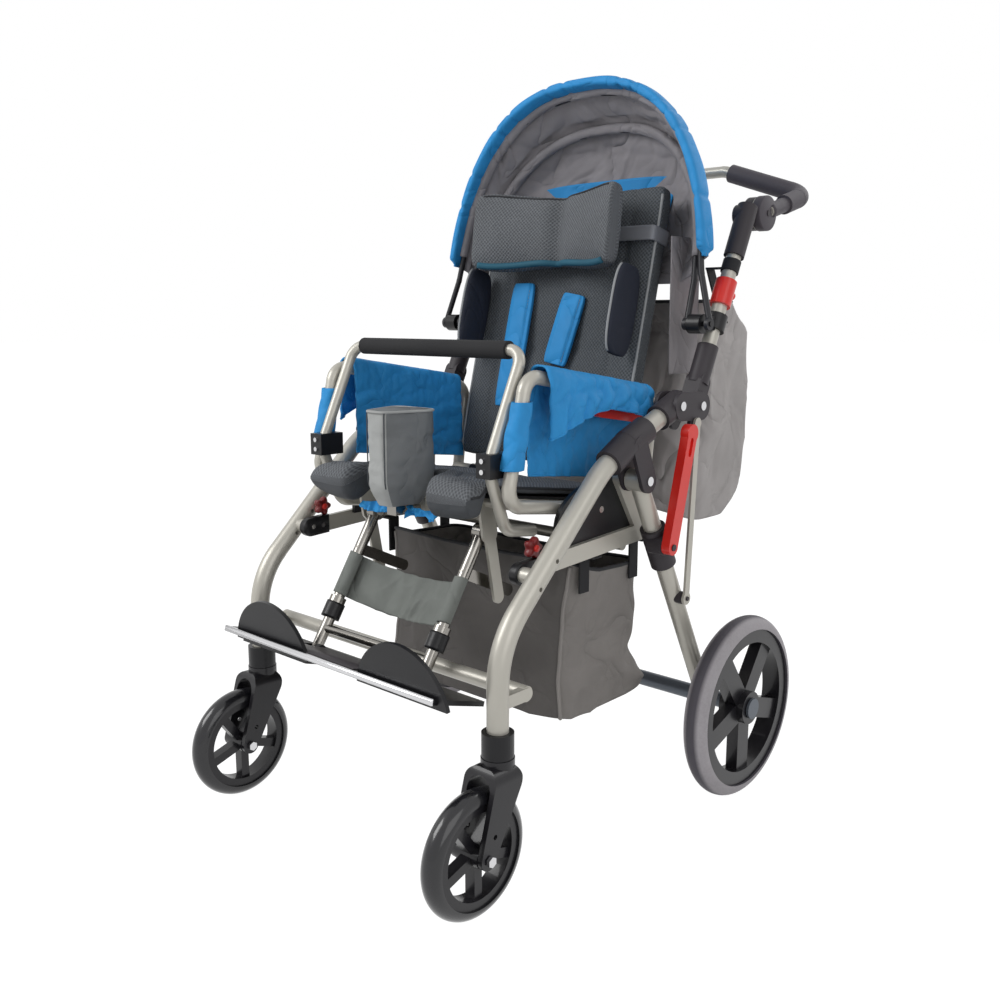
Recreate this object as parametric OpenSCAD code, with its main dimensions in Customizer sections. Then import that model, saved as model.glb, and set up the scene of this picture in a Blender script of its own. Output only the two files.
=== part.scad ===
// Special needs buggy: folding side frames, tilting seat, leg rest, hood and push handle.
// Millimetres, +Z up, the child faces -Y and the child's left is +X, ground at z = 0.

/* [Frame] */
// Distance between the axes of the two side frames
frame_w = 536; // [530:1:544]
// Outer diameter of the front legs and upper tubes
tube_d = 30; // [28:0.5:31]
// Outer diameter of the rear legs
rear_leg_d = 28; // [26:0.5:29]
// Outer diameter of the push tubes
push_d = 24; // [22:0.5:25]
// Lean of the push tubes from level, degrees
push_lean = 64.2; // [63:0.1:65]

/* [Wheels] */
// Diameter of the swivelling front wheels
caster_d = 178; // [172:1:184]
// Width of the front tyres
caster_w = 33; // [30:1:36]
// How far the front wheel axle stands ahead of its swivel axis
caster_trail = 47; // [44:1:50]
// Diameter of the rear wheels
rear_wheel_d = 300; // [290:1:306]
// Width of the rear tyres
rear_wheel_w = 40; // [36:1:42]
// Distance between the middles of the rear tyres
rear_track = 670; // [668:1:690]

/* [Seat] */
// Width of the seat cushion
seat_w = 346; // [330:1:352]
// Thickness of the seat cushion behind its rolled front
seat_thick = 22; // [18:1:26]
// Width of the backrest cushion
back_w = 356; // [336:1:362]
// Height of the backrest cushion
back_h = 462; // [440:1:476]
// Width of the head cushion
head_w = 292; // [270:1:310]
// Width of the pommel block at its rear
pommel_w = 92; // [80:1:100]
// Diameter of the grab bar tube
grab_d = 17; // [15:0.5:18]

/* [Leg rest] */
// Distance between the two leg rest tubes
leg_gap = 236; // [224:1:244]
// Width of the foot board
foot_w = 470; // [440:1:476]

/* [Hood] */
// Height of the front bow above its pivots
hood_h = 388; // [370:1:400]

/* [Fits] */
// Radial clearance of turning joints
run_gap = 0.05; // [0.03:0.01:0.08]
// Gap between faces that pass or rest near each other
face_gap = 0.4; // [0.3:0.05:0.6]

/* [Hidden] */
$fn = 48;

loop_d = 20;
// The arm loops stand clear of both cushions, and the side frames clear of loops and foot board
seat_side = 35;
back_side = 30;
loop_side = 60;
foot_side = 33;
loop_x = max(seat_w / 2 + seat_side, back_w / 2 + back_side);
half_w = max(frame_w / 2, loop_x + loop_side, foot_w / 2 + foot_side);
// Straight parts of a bent bar end a little inside its arcs, which are a hair thicker
arc_lap = 0.3;
arc_swell = 0.45;
// The straight sides of a link stand this much inside its round ends
link_relief = 0.1;
small_gap = 0.3;

// Side view points, [y, z], with the rear axle at y = 0
stem_y = -514;
axle_at = [0, rear_wheel_d / 2];
leg_corner = [stem_y, 359];
leg_shoulder = [-300, 565];
frame_joint = [-236, 600];
upper_end = [-106, 653];
rear_pivot = [-208, 543];
fold_at = [-69, 645];
hood_at = [-57, 770];
recline_at = [-118, 505];
leg_at = [-387, 471];
foot_at = [-517, 266];

// Wheels and forks
crown_z = caster_d + 4;
crown_t = 27;
socket_z = crown_z + crown_t + face_gap;
socket_h = 34;
socket_d = 44;
stem_d = 12;
stem_h = 16;
leg_foot_z = socket_z + stem_h + 2;
caster_axle_d = 8;
fork_t = 8;
fork_gap = caster_w + 8;
caster_core = caster_d / 2 - caster_w / 2;
rear_core = rear_wheel_d / 2 - rear_wheel_w / 2;
axle_d = 16;
sleeve_d = 26;
hub_gap = 2;
rear_hub_w = 44;
wheel_side = 67;
wheel_x = max(rear_track / 2, half_w + wheel_side);
rear_hub_in = wheel_x - rear_hub_w / 2;
rear_hub_out = wheel_x + rear_hub_w / 2;

// Folding joints
cheek_t = 6;
cheek_in = rear_leg_d / 2 + face_gap;
cheek_out = cheek_in + cheek_t;
pin_d = 10;
push_dir = [cos(push_lean), sin(push_lean)];
push_back = [push_dir.y, -push_dir.x];
push_start = 28;
push_end = 340;
handle_at = fold_at + push_dir * 353 + push_back * 36;
lever_at = [-170, 440];
lever_top = [-125, 608];
strut_foot = [-105, 345];
strut_top = [-89, 620];
strut_x = half_w + cheek_out + 2;
strut_t = 4;
lever_x = strut_x + strut_t + face_gap;
lever_t = 14;

// Handle
handle_d = 20;
grip_d = 32;
disc_d = 54;
handle_x = half_w + handle_d / 2 + face_gap;
handle_rear = 259;
handle_low_z = 987;
handle_high_z = 1041;
handle_mid_x = 118;

// The row's middle, front to back
front_reach = -stem_y + caster_trail + caster_d / 2;
back_reach = handle_rear + grip_d / 2;
mid_shift = (front_reach - back_reach) / 2;

// Seat unit: a closed loop of tube each side carries the cushion and the arm
loop_low_front = [-432, 525];
loop_low_rear = [-112, 480];
loop_high_rear = [-88, 655];
loop_high_front = [-392, 702];
tilt_at = mix(loop_low_front, loop_low_rear, 0.584);
seat_slope = atan2(loop_low_front.y - loop_low_rear.y, loop_low_rear.x - loop_low_front.x);
plate_t = 7;
plate_x = loop_x + loop_d / 2 + 5;
rail_x = plate_x + plate_t;
rail_t = 8;
pan_t = 4;
seat_front = -474;
seat_rear = -146;
pan_front = -432;

// Backrest
back_lean = 14;
back_dir = [sin(back_lean), cos(back_lean)];
back_out = [-cos(back_lean), sin(back_lean)];
back_foot = [-88, 520];
back_thick = 46;
back_tube_d = 18;
back_tube_x = 150;
head_drop = 70;
head_s = back_h - head_drop;
head_at = back_foot + back_dir * head_s + back_out * 84;

// Grab bar
grab_x = seat_w / 2 + 10;
grab_top = [-370, 735];
grab_knee = [-442, 578];
grab_hook = [-406, 484];
grab_end = [-347, 476];

// Leg rest
leg_d = 18;
leg_x = leg_gap / 2;
leg_run = foot_at - leg_at;
leg_dir = leg_run / norm(leg_run);
leg_fore = [leg_dir.y, -leg_dir.x];
hanger_x = leg_x + leg_d / 2 + 4;

// Hood bows
bow_d = 10;
bow_power = 0.81;
knob_pin_d = 8;
front_bow_w = half_w + 19;
front_arch_w = half_w - 2;
mid_bow_w = half_w - 21;
mid_bow_h = hood_h - 40;
front_bow_lean = 8;
mid_bow_lean = 18;

// Shared shapes

// A point given as [x, [y, z]]
function spot(x, p) = [x, p.x, p.y];
function unit(v) = v / norm(v);
function mix(a, b, t) = a + (b - a) * t;
// Signed power, for rounded outlines
function spow(v, e) = sign(v) * pow(abs(v), e);

module both() {
    children();
    mirror([1, 0, 0]) children();
}

module middle() {
    translate([0, mid_shift, 0]) children();
}

// Round bar between two points
module rod(a, b, d) {
    v = b - a;
    translate(a)
        rotate([0, acos(v.z / norm(v)), atan2(v.y, v.x)])
            cylinder(d = d, h = norm(v));
}

// Round bar that follows points, with arcs at the corners
module bar(pts, d, bend) {
    last = len(pts) - 1;
    turn = [for (i = [0 : last]) i == 0 || i == last ? 0 :
        acos(min(1, unit(pts[i] - pts[i - 1]) * unit(pts[i + 1] - pts[i])))];
    cut = [for (i = [0 : last]) bend * tan(turn[i] / 2)];
    for (i = [0 : last - 1]) {
        along = unit(pts[i + 1] - pts[i]);
        rod(pts[i] + along * (i == 0 ? 0 : cut[i] - arc_lap),
            pts[i + 1] - along * (i == last - 1 ? 0 : cut[i + 1] - arc_lap), d);
    }
    for (i = [1 : last - 1]) {
        into = unit(pts[i] - pts[i - 1]);
        away = unit(pts[i + 1] - pts[i]);
        centre = pts[i] + unit(away - into) * bend / cos(turn[i] / 2);
        ex = unit(pts[i] - into * cut[i] - centre);
        ez = cross(ex, into);
        multmatrix([[ex.x, into.x, ez.x, centre.x], [ex.y, into.y, ez.y, centre.y],
                    [ex.z, into.z, ez.z, centre.z], [0, 0, 0, 1]])
            rotate_extrude(angle = turn[i])
                translate([bend, 0]) circle(d = d + arc_swell);
    }
}

// Extrudes a side view outline along X
module side_plate(x, t) {
    translate([x, 0, 0]) rotate([90, 0, 90]) linear_extrude(t) children();
}

// Cylinder along X at a side view point
module pin(x0, x1, p, d) {
    translate([x0, p.x, p.y]) rotate([0, 90, 0]) cylinder(d = d, h = x1 - x0);
}

// Straight link outline with round ends
module link(a, b, w) {
    translate(a) circle(d = w);
    translate(b) circle(d = w);
    translate(a) rotate(atan2(b.y - a.y, b.x - a.x))
        translate([0, link_relief - w / 2]) square([norm(b - a), w - 2 * link_relief]);
}

// Solid through closed rings of points, capped at both ends; a folded ring is capped across its two walls
module loft(rings, folded = false) {
    n = len(rings[0]);
    m = len(rings);
    mids = [for (r = [rings[0], rings[m - 1]]) [for (k = [0 : 2]) [for (p = r) p[k]] * [for (p = r) 1] / n]];
    pts = concat([for (r = rings) for (p = r) p], mids);
    sides = [for (j = [0 : m - 2]) for (i = [0 : n - 1]) let (k = (i + 1) % n)
        each [[j * n + i, j * n + k, (j + 1) * n + k], [j * n + i, (j + 1) * n + k, (j + 1) * n + i]]];
    far = (m - 1) * n;
    round_ends = [for (i = [0 : n - 1]) let (k = (i + 1) % n)
        each [[m * n, k, i], [m * n + 1, far + i, far + k]]];
    wall_ends = [for (i = [0 : n / 2 - 2]) let (a = n - 1 - i, b = n - 2 - i)
        each [[i, b, i + 1], [i, a, b], [far + i, far + i + 1, far + b], [far + i, far + b, far + a]]];
    ends = folded ? wall_ends : round_ends;
    used = folded ? [for (i = [0 : m * n - 1]) pts[i]] : pts;
    polyhedron(used, [for (f = concat(sides, ends)) [f[2], f[1], f[0]]]);
}

// Rounded outline of half sizes a and b, as [u, v] points
function ring2(a, b, e, n) = [for (i = [0 : n - 1]) let (t = 360 * (i + 0.5) / n)
    [a * spow(cos(t), e), b * spow(sin(t), e)]];

// How full a cushion is at a share s of its length: drawn in at both ends
function fullness(s, e) = pow(max(0, 1 - pow(abs(2 * s - 1), e)), 1 / e);

// Frame

leg_bend = 130;
joint_wall = 6;
side_reach = 30;
leg_path = [[stem_y, leg_foot_z], leg_corner, leg_shoulder,
    frame_joint - unit(frame_joint - leg_shoulder) * joint_wall];

module front_legs() {
    color("silver") both() difference() {
        bar([for (p = leg_path) spot(half_w, p)], tube_d, leg_bend);
        for (p = accessory_holes) pin(half_w - tube_d, half_w + tube_d, p, hole_d);
    }
}

hole_d = 6.5;
leg_slope = unit(leg_shoulder - leg_corner);
accessory_holes = [for (s = [95, 142]) leg_corner + leg_slope * s];

module stem_sockets() {
    color("dimgray") both() translate([half_w, stem_y, 0]) difference() {
        translate([0, 0, socket_z]) cylinder(d = socket_d, h = socket_h);
        translate([0, 0, leg_foot_z]) cylinder(d = tube_d, h = socket_h);
        translate([0, 0, socket_z - 1]) cylinder(d = stem_d + 2 * run_gap, h = stem_h + 1.5);
    }
}

upper_dir = unit(upper_end - frame_joint);

module frame_connectors() {
    lower_dir = unit(leg_shoulder - frame_joint);
    lower_reach = 52;
    upper_reach = 44;
    sleeve_bend = 60;
    cheek_w = 36;
    color("dimgray") both() difference() {
        union() {
            ends = [frame_joint + lower_dir * lower_reach, frame_joint,
                frame_joint + upper_dir * upper_reach];
            bar([for (p = ends) spot(half_w, p)], tube_d + 12, sleeve_bend);
            for (x = [-cheek_out, cheek_in])
                side_plate(half_w + x, cheek_t)
                    link(frame_joint + [6, -6], rear_pivot, cheek_w);
        }
        rod(spot(half_w, frame_joint + lower_dir * (lower_reach + 20)),
            spot(half_w, frame_joint + lower_dir * joint_wall), tube_d);
        rod(spot(half_w, frame_joint + upper_dir * joint_wall),
            spot(half_w, frame_joint + upper_dir * (upper_reach + 20)), tube_d);
        pin(half_w - side_reach, half_w + side_reach, rear_pivot, pin_d);
    }
}

module upper_tubes() {
    color("silver") both()
        rod(spot(half_w, frame_joint + upper_dir * joint_wall), spot(half_w, upper_end), tube_d);
}

module hinge_housings() {
    color("dimgray") both() difference() {
        union() {
            rod(spot(half_w, upper_end - upper_dir * 58), spot(half_w, upper_end), tube_d + 10);
            for (x = [-cheek_out, cheek_in])
                side_plate(half_w + x, cheek_t) {
                    link(upper_end - upper_dir * 16, fold_at, 44);
                    link(fold_at, strut_top, 26);
                }
        }
        rod(spot(half_w, upper_end - upper_dir * 80), spot(half_w, upper_end + upper_dir), tube_d);
        pin(half_w - side_reach, half_w + side_reach, fold_at, pin_d);
    }
}

cross_low = [-460, 281];
cross_rear = [-190, 436];

// The low tube stands behind the front legs on two lugs, the rear one joins the rails
module cross_tubes() {
    color("silver") difference() {
        union() {
            pin(-half_w - 4, half_w + 4, cross_low, 22);
            pin(-rail_x, rail_x, cross_rear, 18);
            both() side_plate(half_w - 6, 12) link([stem_y, cross_low.y], cross_low, 18);
        }
        both() rod(spot(half_w, [stem_y, leg_foot_z]), spot(half_w, leg_corner), tube_d);
    }
}

rail_front = [-434, 436];
rail_rear = [-150, 452];

// Flat rails under the seat, held by a stub at the front leg and a post at the rear leg's pivot
module side_rails() {
    color("silver") both() difference() {
        union() {
            side_plate(rail_x, rail_t) {
                link(rail_front, rail_rear, 26);
                link(rail_rear, rear_pivot, 24);
            }
            pin(rail_x + rail_t / 2, half_w - tube_d / 2 + 6, rail_front, 22);
            pin(rail_x + rail_t / 2, half_w - cheek_out, rear_pivot, 24);
        }
        rod(spot(half_w, leg_corner), spot(half_w, leg_shoulder), tube_d);
    }
}

module tilt_plates() {
    arch_w = 104;
    foot_drop = 50;
    color("#26262a") both() difference() {
        side_plate(plate_x, plate_t) {
            intersection() {
                translate(tilt_at + [0, -14]) scale([1, 0.58]) circle(d = 2 * arch_w);
                translate(tilt_at + [-arch_w, -foot_drop]) square([2 * arch_w, 2 * foot_drop]);
            }
            translate(tilt_at + [-arch_w + 4, -foot_drop]) square([2 * arch_w - 8, 38]);
        }
        pin(plate_x - 1, rail_x + 1, tilt_at, pin_d);
    }
}

module frame_pins() {
    color("gainsboro") both() {
        pin(half_w - cheek_out, half_w + cheek_out + 0.5, rear_pivot, pin_d);
        pin(half_w - cheek_out, half_w + cheek_out + 0.5, fold_at, pin_d);
        pin(loop_x - loop_d / 2, plate_x + plate_t, tilt_at, pin_d);
    }
}

// Basket: a cloth tray with a raised front, hung from the rails
basket_w = 212;
basket_wall = 4;
basket_floor_z = 172;
basket_rim_z = 396;
basket_front_y = -302;
basket_rear_y = -36;

function basket_ring(s, inset) = let (
    z = mix(basket_floor_z + inset, basket_rim_z, s),
    front = mix(basket_front_y - 6, basket_front_y + 16, s) + inset,
    rear = mix(basket_rear_y, basket_rear_y - 56, s) - inset,
    half = basket_w - inset - 10 * sin(180 * s),
    outline = ring2(half, (rear - front) / 2, 0.28, 40))
    [for (p = outline) [p.x, (front + rear) / 2 + p.y,
        z + s * 26 * pow(max(0, -p.y / (rear - front) * 2), 2)
            - s * 16 * (1 - pow(p.x / half, 2)) * (1 - s / 2)]];

module basket() {
    color("#5c5c5e") loft(concat([for (s = [0 : 0.2 : 1]) basket_ring(s, 0)],
        [for (s = [1 : -0.2 : 0]) basket_ring(s, basket_wall)]));
}

// Straps from the basket's rim to tabs under the rails
tie_w = 22;
tie_t = 3;
tie_lap = 24;
tie_places = [basket_front_y + 26, basket_rear_y - 114];

module basket_straps() {
    reach = rail_x + rail_t - basket_w - small_gap;
    color("#26262a") both() for (y = tie_places) {
        tab_z = mix(rail_front.y, rail_rear.y, (y - rail_front.x) / (rail_rear.x - rail_front.x)) - 13.6;
        translate([basket_w + small_gap, y, basket_rim_z - tie_lap])
            cube([tie_t, tie_w, tab_z - basket_rim_z + tie_lap]);
        translate([basket_w + small_gap, y, tab_z - tie_t]) cube([reach, tie_w, tie_t]);
    }
}

// Front casters, built at the right place for either side

// Outline of a blade that narrows from a round head to a round foot
module blade(head, head_d, foot, foot_d) {
    way = unit(foot - head);
    lean = asin((head_d - foot_d) / 2 / norm(foot - head));
    left = [-way.y, way.x] * cos(lean) + way * sin(lean);
    right = [way.y, -way.x] * cos(lean) + way * sin(lean);
    head_r = head_d / 2 - link_relief;
    foot_r = foot_d / 2 - link_relief;
    translate(head) circle(d = head_d);
    translate(foot) circle(d = foot_d);
    polygon([head + left * head_r, foot + left * foot_r, foot + right * foot_r, head + right * head_r]);
}

// Two blades joined over the wheel by a crown with round shoulders
module caster_fork() {
    axle = [stem_y - caster_trail, caster_d / 2];
    head = [stem_y - 8, crown_z + 1];
    side = fork_gap / 2 + fork_t;
    top = crown_z + crown_t;
    shoulder_r = 18;
    shoulder_z = top - 8;
    arch_z = crown_z - 10;
    neck_z = arch_z + fork_gap / 2 + 0.5;
    color("#222226") union() {
        pin(-side - 3, side + 3, axle, caster_axle_d);
        translate([0, stem_y, neck_z]) cylinder(d = socket_d + 2, h = top - neck_z);
        translate([0, stem_y, socket_z - 1]) cylinder(d = stem_d, h = stem_h + 0.5);
        intersection() {
            side_plate(-side - 1, 2 * side + 2) difference() {
                blade(head, 52, axle, 28);
                translate(mix(axle, head, 0.3)) circle(d = 7);
            }
            translate([0, stem_y + 60, 0]) rotate([90, 0, 0]) linear_extrude(160) difference() {
                union() {
                    translate([-side, 0]) square([2 * side, shoulder_z - shoulder_r]);
                    for (x = [shoulder_r - side, side - shoulder_r])
                        translate([x, shoulder_z - shoulder_r]) circle(r = shoulder_r);
                    translate([shoulder_r - side, 0]) square([2 * (side - shoulder_r), shoulder_z]);
                }
                translate([-fork_gap / 2, -1]) square([fork_gap, arch_z + 1]);
                translate([0, arch_z]) circle(d = fork_gap);
            }
        }
    }
}

// Spoked wheel about X with a hub bore
module spoked_rim(core, width, hub_d, hub_w, bore_d, spoke_w) {
    rim_depth = core * 0.17;
    rotate([0, 90, 0]) difference() {
        union() {
            difference() {
                cylinder(r = core, h = width, center = true);
                cylinder(r = core - rim_depth, h = width + 1, center = true);
            }
            cylinder(d = hub_d, h = hub_w, center = true);
            for (i = [0 : 4]) rotate(72 * i)
                translate([hub_d / 2 - 4, -spoke_w / 2, -width * 0.32])
                    cube([core - rim_depth / 2 - hub_d / 2 + 4, spoke_w, width * 0.64]);
        }
        cylinder(d = bore_d, h = hub_w + 1, center = true);
    }
}

module tyre(core, width) {
    rotate([0, 90, 0]) rotate_extrude() intersection() {
        translate([core, 0]) circle(d = width);
        translate([core, -width]) square([width, 2 * width]);
    }
}

module caster_rim() {
    color("#222226") translate([0, stem_y - caster_trail, caster_d / 2])
        spoked_rim(caster_core, caster_w - 6, 30, fork_gap - 1, caster_axle_d + 2 * run_gap, 14);
}

module caster_tyre() {
    color("#28282c") translate([0, stem_y - caster_trail, caster_d / 2]) tyre(caster_core, caster_w);
}

// Rear legs and wheels

rear_dir = unit(axle_at - rear_pivot);
rear_len = norm(axle_at - rear_pivot);

module rear_leg_solid() {
    rod(spot(half_w, rear_pivot), spot(half_w, axle_at), rear_leg_d);
    pin(half_w - rear_leg_d / 2 + 1, half_w + rear_leg_d / 2 - 1, rear_pivot, 34);
    pin(half_w - 17, half_w + 17, axle_at, 42);
}

module rear_legs() {
    color("silver") both() difference() {
        rear_leg_solid();
        pin(half_w - side_reach, half_w + side_reach, rear_pivot, pin_d + 2 * run_gap);
        pin(half_w - side_reach, half_w + side_reach, axle_at, sleeve_d);
    }
}

block_from = 88;
block_to = 158;

module leg_blocks() {
    color("#2c2a2e") both() difference() {
        union() {
            rod(spot(half_w, rear_pivot + rear_dir * block_from),
                spot(half_w, rear_pivot + rear_dir * block_to), 40);
            pin(half_w, lever_x - face_gap, lever_at, 28);
            pin(half_w, lever_x + lever_t + 2, lever_at, pin_d);
            pin(half_w, strut_x - face_gap, strut_foot, 20);
            pin(half_w, strut_x + strut_t + 2, strut_foot, 7);
        }
        rod(spot(half_w, rear_pivot), spot(half_w, axle_at), rear_leg_d);
    }
}

module rear_axle() {
    hub_side = rear_hub_in - hub_gap;
    color("#3a383c") {
        pin(-hub_side, hub_side, axle_at, sleeve_d);
        pin(-rear_hub_out - 1, rear_hub_out + 1, axle_at, axle_d);
        both() pin(rear_hub_out + 1, rear_hub_out + 5, axle_at, 34);
    }
}

module rear_rim() {
    color("#222024") translate([wheel_x, axle_at.x, axle_at.y])
        spoked_rim(rear_core, rear_wheel_w - 8, 54, rear_hub_w, axle_d + 2 * run_gap, 34);
}

module rear_tyre() {
    color("#8a858a") translate([wheel_x, axle_at.x, axle_at.y]) tyre(rear_core, rear_wheel_w);
}

module fold_struts() {
    color("silver") both() difference() {
        side_plate(strut_x, strut_t) {
            link(strut_foot, strut_top, 13);
            translate(strut_foot) circle(d = 20);
            translate(strut_top) circle(d = 17);
        }
        pin(strut_x - 1, strut_x + strut_t + 1, strut_foot, 7 + 2 * run_gap);
    }
}

module lock_lever() {
    color("#e23028") difference() {
        side_plate(lever_x, lever_t) {
            link(lever_at, lever_top, 24);
            translate(lever_top) circle(d = 28);
        }
        side_plate(lever_x + lever_t - 4, 5)
            link(mix(lever_at, lever_top, 0.82), mix(lever_at, lever_top, 0.94), 8);
        pin(lever_x - 1, lever_x + lever_t + 1, lever_at, pin_d + 2 * run_gap);
    }
}

// Push frame

function push_at(s) = fold_at + push_dir * s;

module push_tubes() {
    color("silver") both() rod(spot(half_w, push_at(push_start)), spot(half_w, push_at(push_end)), push_d);
}

module push_sleeves() {
    tongue = 2 * cheek_in - 2 * face_gap;
    color("#4e494e") both() difference() {
        union() {
            pin(half_w - tongue / 2, half_w + tongue / 2, fold_at, 36);
            side_plate(half_w - tongue / 2, tongue) link(fold_at, push_at(38), 30);
            rod(spot(half_w, push_at(36)), spot(half_w, push_at(100)), push_d + 10);
        }
        rod(spot(half_w, push_at(push_start)), spot(half_w, push_at(120)), push_d);
        pin(half_w - side_reach, half_w + side_reach, fold_at, pin_d + 2 * run_gap);
    }
}

module catch_collars() {
    color("#e23028") both() difference() {
        union() {
            rod(spot(half_w, push_at(170)), spot(half_w, push_at(213)), push_d + 10);
            rod(spot(half_w, push_at(198)), spot(half_w, push_at(198) + push_back * (push_d / 2 + 13)), 15);
        }
        rod(spot(half_w, push_at(150)), spot(half_w, push_at(230)), push_d);
    }
}

disc_t = 15;

module handle_sockets() {
    color("#4a474d") both() difference() {
        union() {
            rod(spot(half_w, push_at(256)), spot(half_w, push_at(345)), push_d + 9);
            side_plate(half_w - disc_t, disc_t - face_gap / 2) link(push_at(330), handle_at, 34);
            pin(half_w - disc_t, half_w - face_gap / 2, handle_at, disc_d);
            pin(half_w - disc_t, half_w + disc_t + 4, handle_at, pin_d);
        }
        rod(spot(half_w, push_at(200)), spot(half_w, push_at(push_end)), push_d);
        difference() {
            pin(half_w - face_gap / 2, half_w + 40, handle_at, disc_d + 4);
            pin(half_w - disc_t, half_w + disc_t + 4, handle_at, pin_d);
        }
    }
}

clamp_s = 140;

boss_out = 9.4;

module hood_brackets() {
    grip = push_at(clamp_s);
    color("#2a2a2e") both() difference() {
        union() {
            rod(spot(half_w, push_at(clamp_s - 13)), spot(half_w, push_at(clamp_s + 13)), push_d + 12);
            side_plate(half_w - 9, 18) link(grip, hood_at, 22);
            pin(half_w - 14, half_w + boss_out, hood_at, 30);
            pin(half_w - 26, half_w + 24, hood_at, knob_pin_d);
        }
        rod(spot(half_w, push_at(100)), spot(half_w, push_at(180)), push_d);
    }
}

// Handle

handle_path = [spot(handle_x, handle_at + [10, 3]), [handle_x - 2, handle_rear, handle_low_z],
    [handle_mid_x, handle_rear, handle_high_z], [-handle_mid_x, handle_rear, handle_high_z],
    [2 - handle_x, handle_rear, handle_low_z], spot(-handle_x, handle_at + [10, 3])];

handle_bend = 34;

module handlebar() {
    color("silver") difference() {
        union() {
            bar(handle_path, handle_d, handle_bend);
            both() pin(half_w + face_gap / 2, half_w + disc_t, handle_at, disc_d);
        }
        both() pin(half_w - 20, half_w + 40, handle_at, pin_d + 2 * run_gap);
    }
}

module handle_grips() {
    slope = unit(handle_path[2] - handle_path[1]);
    grip_path = [mix(handle_path[0], handle_path[1], 0.42), handle_path[1], handle_path[2] - slope * 14];
    color("#55525a") both() difference() {
        bar(grip_path, grip_d, handle_bend);
        bar(handle_path, handle_d, handle_bend);
    }
}

// Hood: bows turn about the knobs on the push tubes

// Point of a bow at angle t, in a plane leaning back by lean; grow moves it outwards
function bow_point(w, h, t, lean, grow) = let (
    x = (w + grow) * spow(cos(t), bow_power),
    r = (h + grow) * spow(sin(t), bow_power))
    [x, hood_at.x + r * sin(lean), hood_at.y + r * cos(lean)];

// A bow whose feet stand at half width w and whose arch has half width arch_w
module bow(w, arch_w, h, lean) {
    low = 8;
    steps = 10;
    eye_t = 6;
    eye_x = w - eye_t / 2;
    pts = [for (i = [0 : steps]) bow_point(arch_w, h, low + (180 - 2 * low) * i / steps, lean, 0)];
    foot = spot(w, hood_at + [sin(lean), cos(lean)] * 6);
    difference() {
        union() {
            bar(concat([foot], pts, [[-foot.x, foot.y, foot.z]]), bow_d, 30);
            both() pin(eye_x, eye_x + eye_t, hood_at, 20);
        }
        both() pin(eye_x - eye_t, eye_x + 2 * eye_t, hood_at, knob_pin_d + 2 * run_gap);
    }
}

module front_bow() {
    color("#3a3a3e") bow(front_bow_w, front_arch_w, hood_h, front_bow_lean);
}

module mid_bow() {
    color("#3a3a3e") bow(mid_bow_w, mid_bow_w, mid_bow_h, mid_bow_lean);
}

// Cover stations: lean of the plane, half width, height
cover_stations = [[front_bow_lean - 3, front_arch_w, hood_h], [front_bow_lean, front_arch_w, hood_h],
    [mix(front_bow_lean, mid_bow_lean, 0.5), mix(front_arch_w, mid_bow_w, 0.5) + 2, hood_h - 18],
    [mid_bow_lean, mid_bow_w, mid_bow_h], [mid_bow_lean + 6, mid_bow_w - 14, mid_bow_h - 32],
    [mid_bow_lean + 10, mid_bow_w - 40, mid_bow_h - 78]];
cover_t = 3;
cover_low = 11;
cover_steps = 24;

function cover_arch(k, grow) = [for (i = [0 : cover_steps])
    let (t = cover_low + (180 - 2 * cover_low) * i / cover_steps)
    bow_point(cover_stations[k][1], cover_stations[k][2], t, cover_stations[k][0], grow)];

module hood_cover() {
    clear = bow_d / 2 + 5;
    color("#4a9ad0") loft([for (k = [0 : len(cover_stations) - 1])
        concat(cover_arch(k, clear + cover_t),
            [for (i = [cover_steps : -1 : 0]) cover_arch(k, clear)[i]])], true);
}

// Back bag, an open pouch behind the push tubes
bag_low_z = 456;
bag_top_z = 806;
bag_low_w = 196;
bag_top_w = 228;
bag_wall = 4;
bag_steps = 7;
bag_rear = [[0, 204], [0.14, 260], [0.3, 252], [0.86, 219], [1, 142]];

function bag_ring(s, inset) = let (
    z = mix(bag_low_z + inset, bag_top_z, s),
    front = mix(42, 26, s) + inset,
    rear = lookup(s, bag_rear) - inset,
    half = mix(bag_low_w, bag_top_w, s) - inset + 8 * sin(180 * s),
    outline = ring2(half, (rear - front) / 2, 0.42, 32))
    [for (p = outline) [p.x, (front + rear) / 2 + p.y, z - (1 - s) * 26 * pow(abs(p.x / half), 3)]];

module back_bag() {
    color("#8c8a8e") loft(concat([for (i = [0 : bag_steps]) bag_ring(i / bag_steps, 0)],
        [for (i = [bag_steps : -1 : 0]) bag_ring(i / bag_steps, bag_wall)]));
}

// Loops round the push tubes that carry the bag's top corners
module bag_straps() {
    band_t = 3;
    loop_from = 228;
    loop_to = 248;
    mid = push_at((loop_from + loop_to) / 2);
    x = bag_top_w + small_gap;
    color("#26262a") both() difference() {
        union() {
            rod(spot(half_w, push_at(loop_from)), spot(half_w, push_at(loop_to)), push_d + 5);
            side_plate(x, band_t)
                polygon([[72, 770], [96, 770], mid + [11, 0], mid + [-11, 0]]);
            translate([x, mid.x - 11, mid.y - band_t]) cube([half_w - x, 22, band_t]);
        }
        rod(spot(half_w, push_at(loop_from - 20)), spot(half_w, push_at(loop_to + 20)), push_d);
    }
}

// Seat unit

// The loop's two ends meet inside a sleeve at the tilt pivot
module seat_loop() {
    along = unit(loop_low_rear - loop_low_front);
    corners = [tilt_at - along, loop_low_front, loop_high_front, loop_high_rear, loop_low_rear,
        tilt_at + along];
    bar([for (p = corners) spot(loop_x, p)], loop_d, 26);
    rod(spot(loop_x, tilt_at - along * 18), spot(loop_x, tilt_at + along * 18), loop_d + 6);
}

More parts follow.
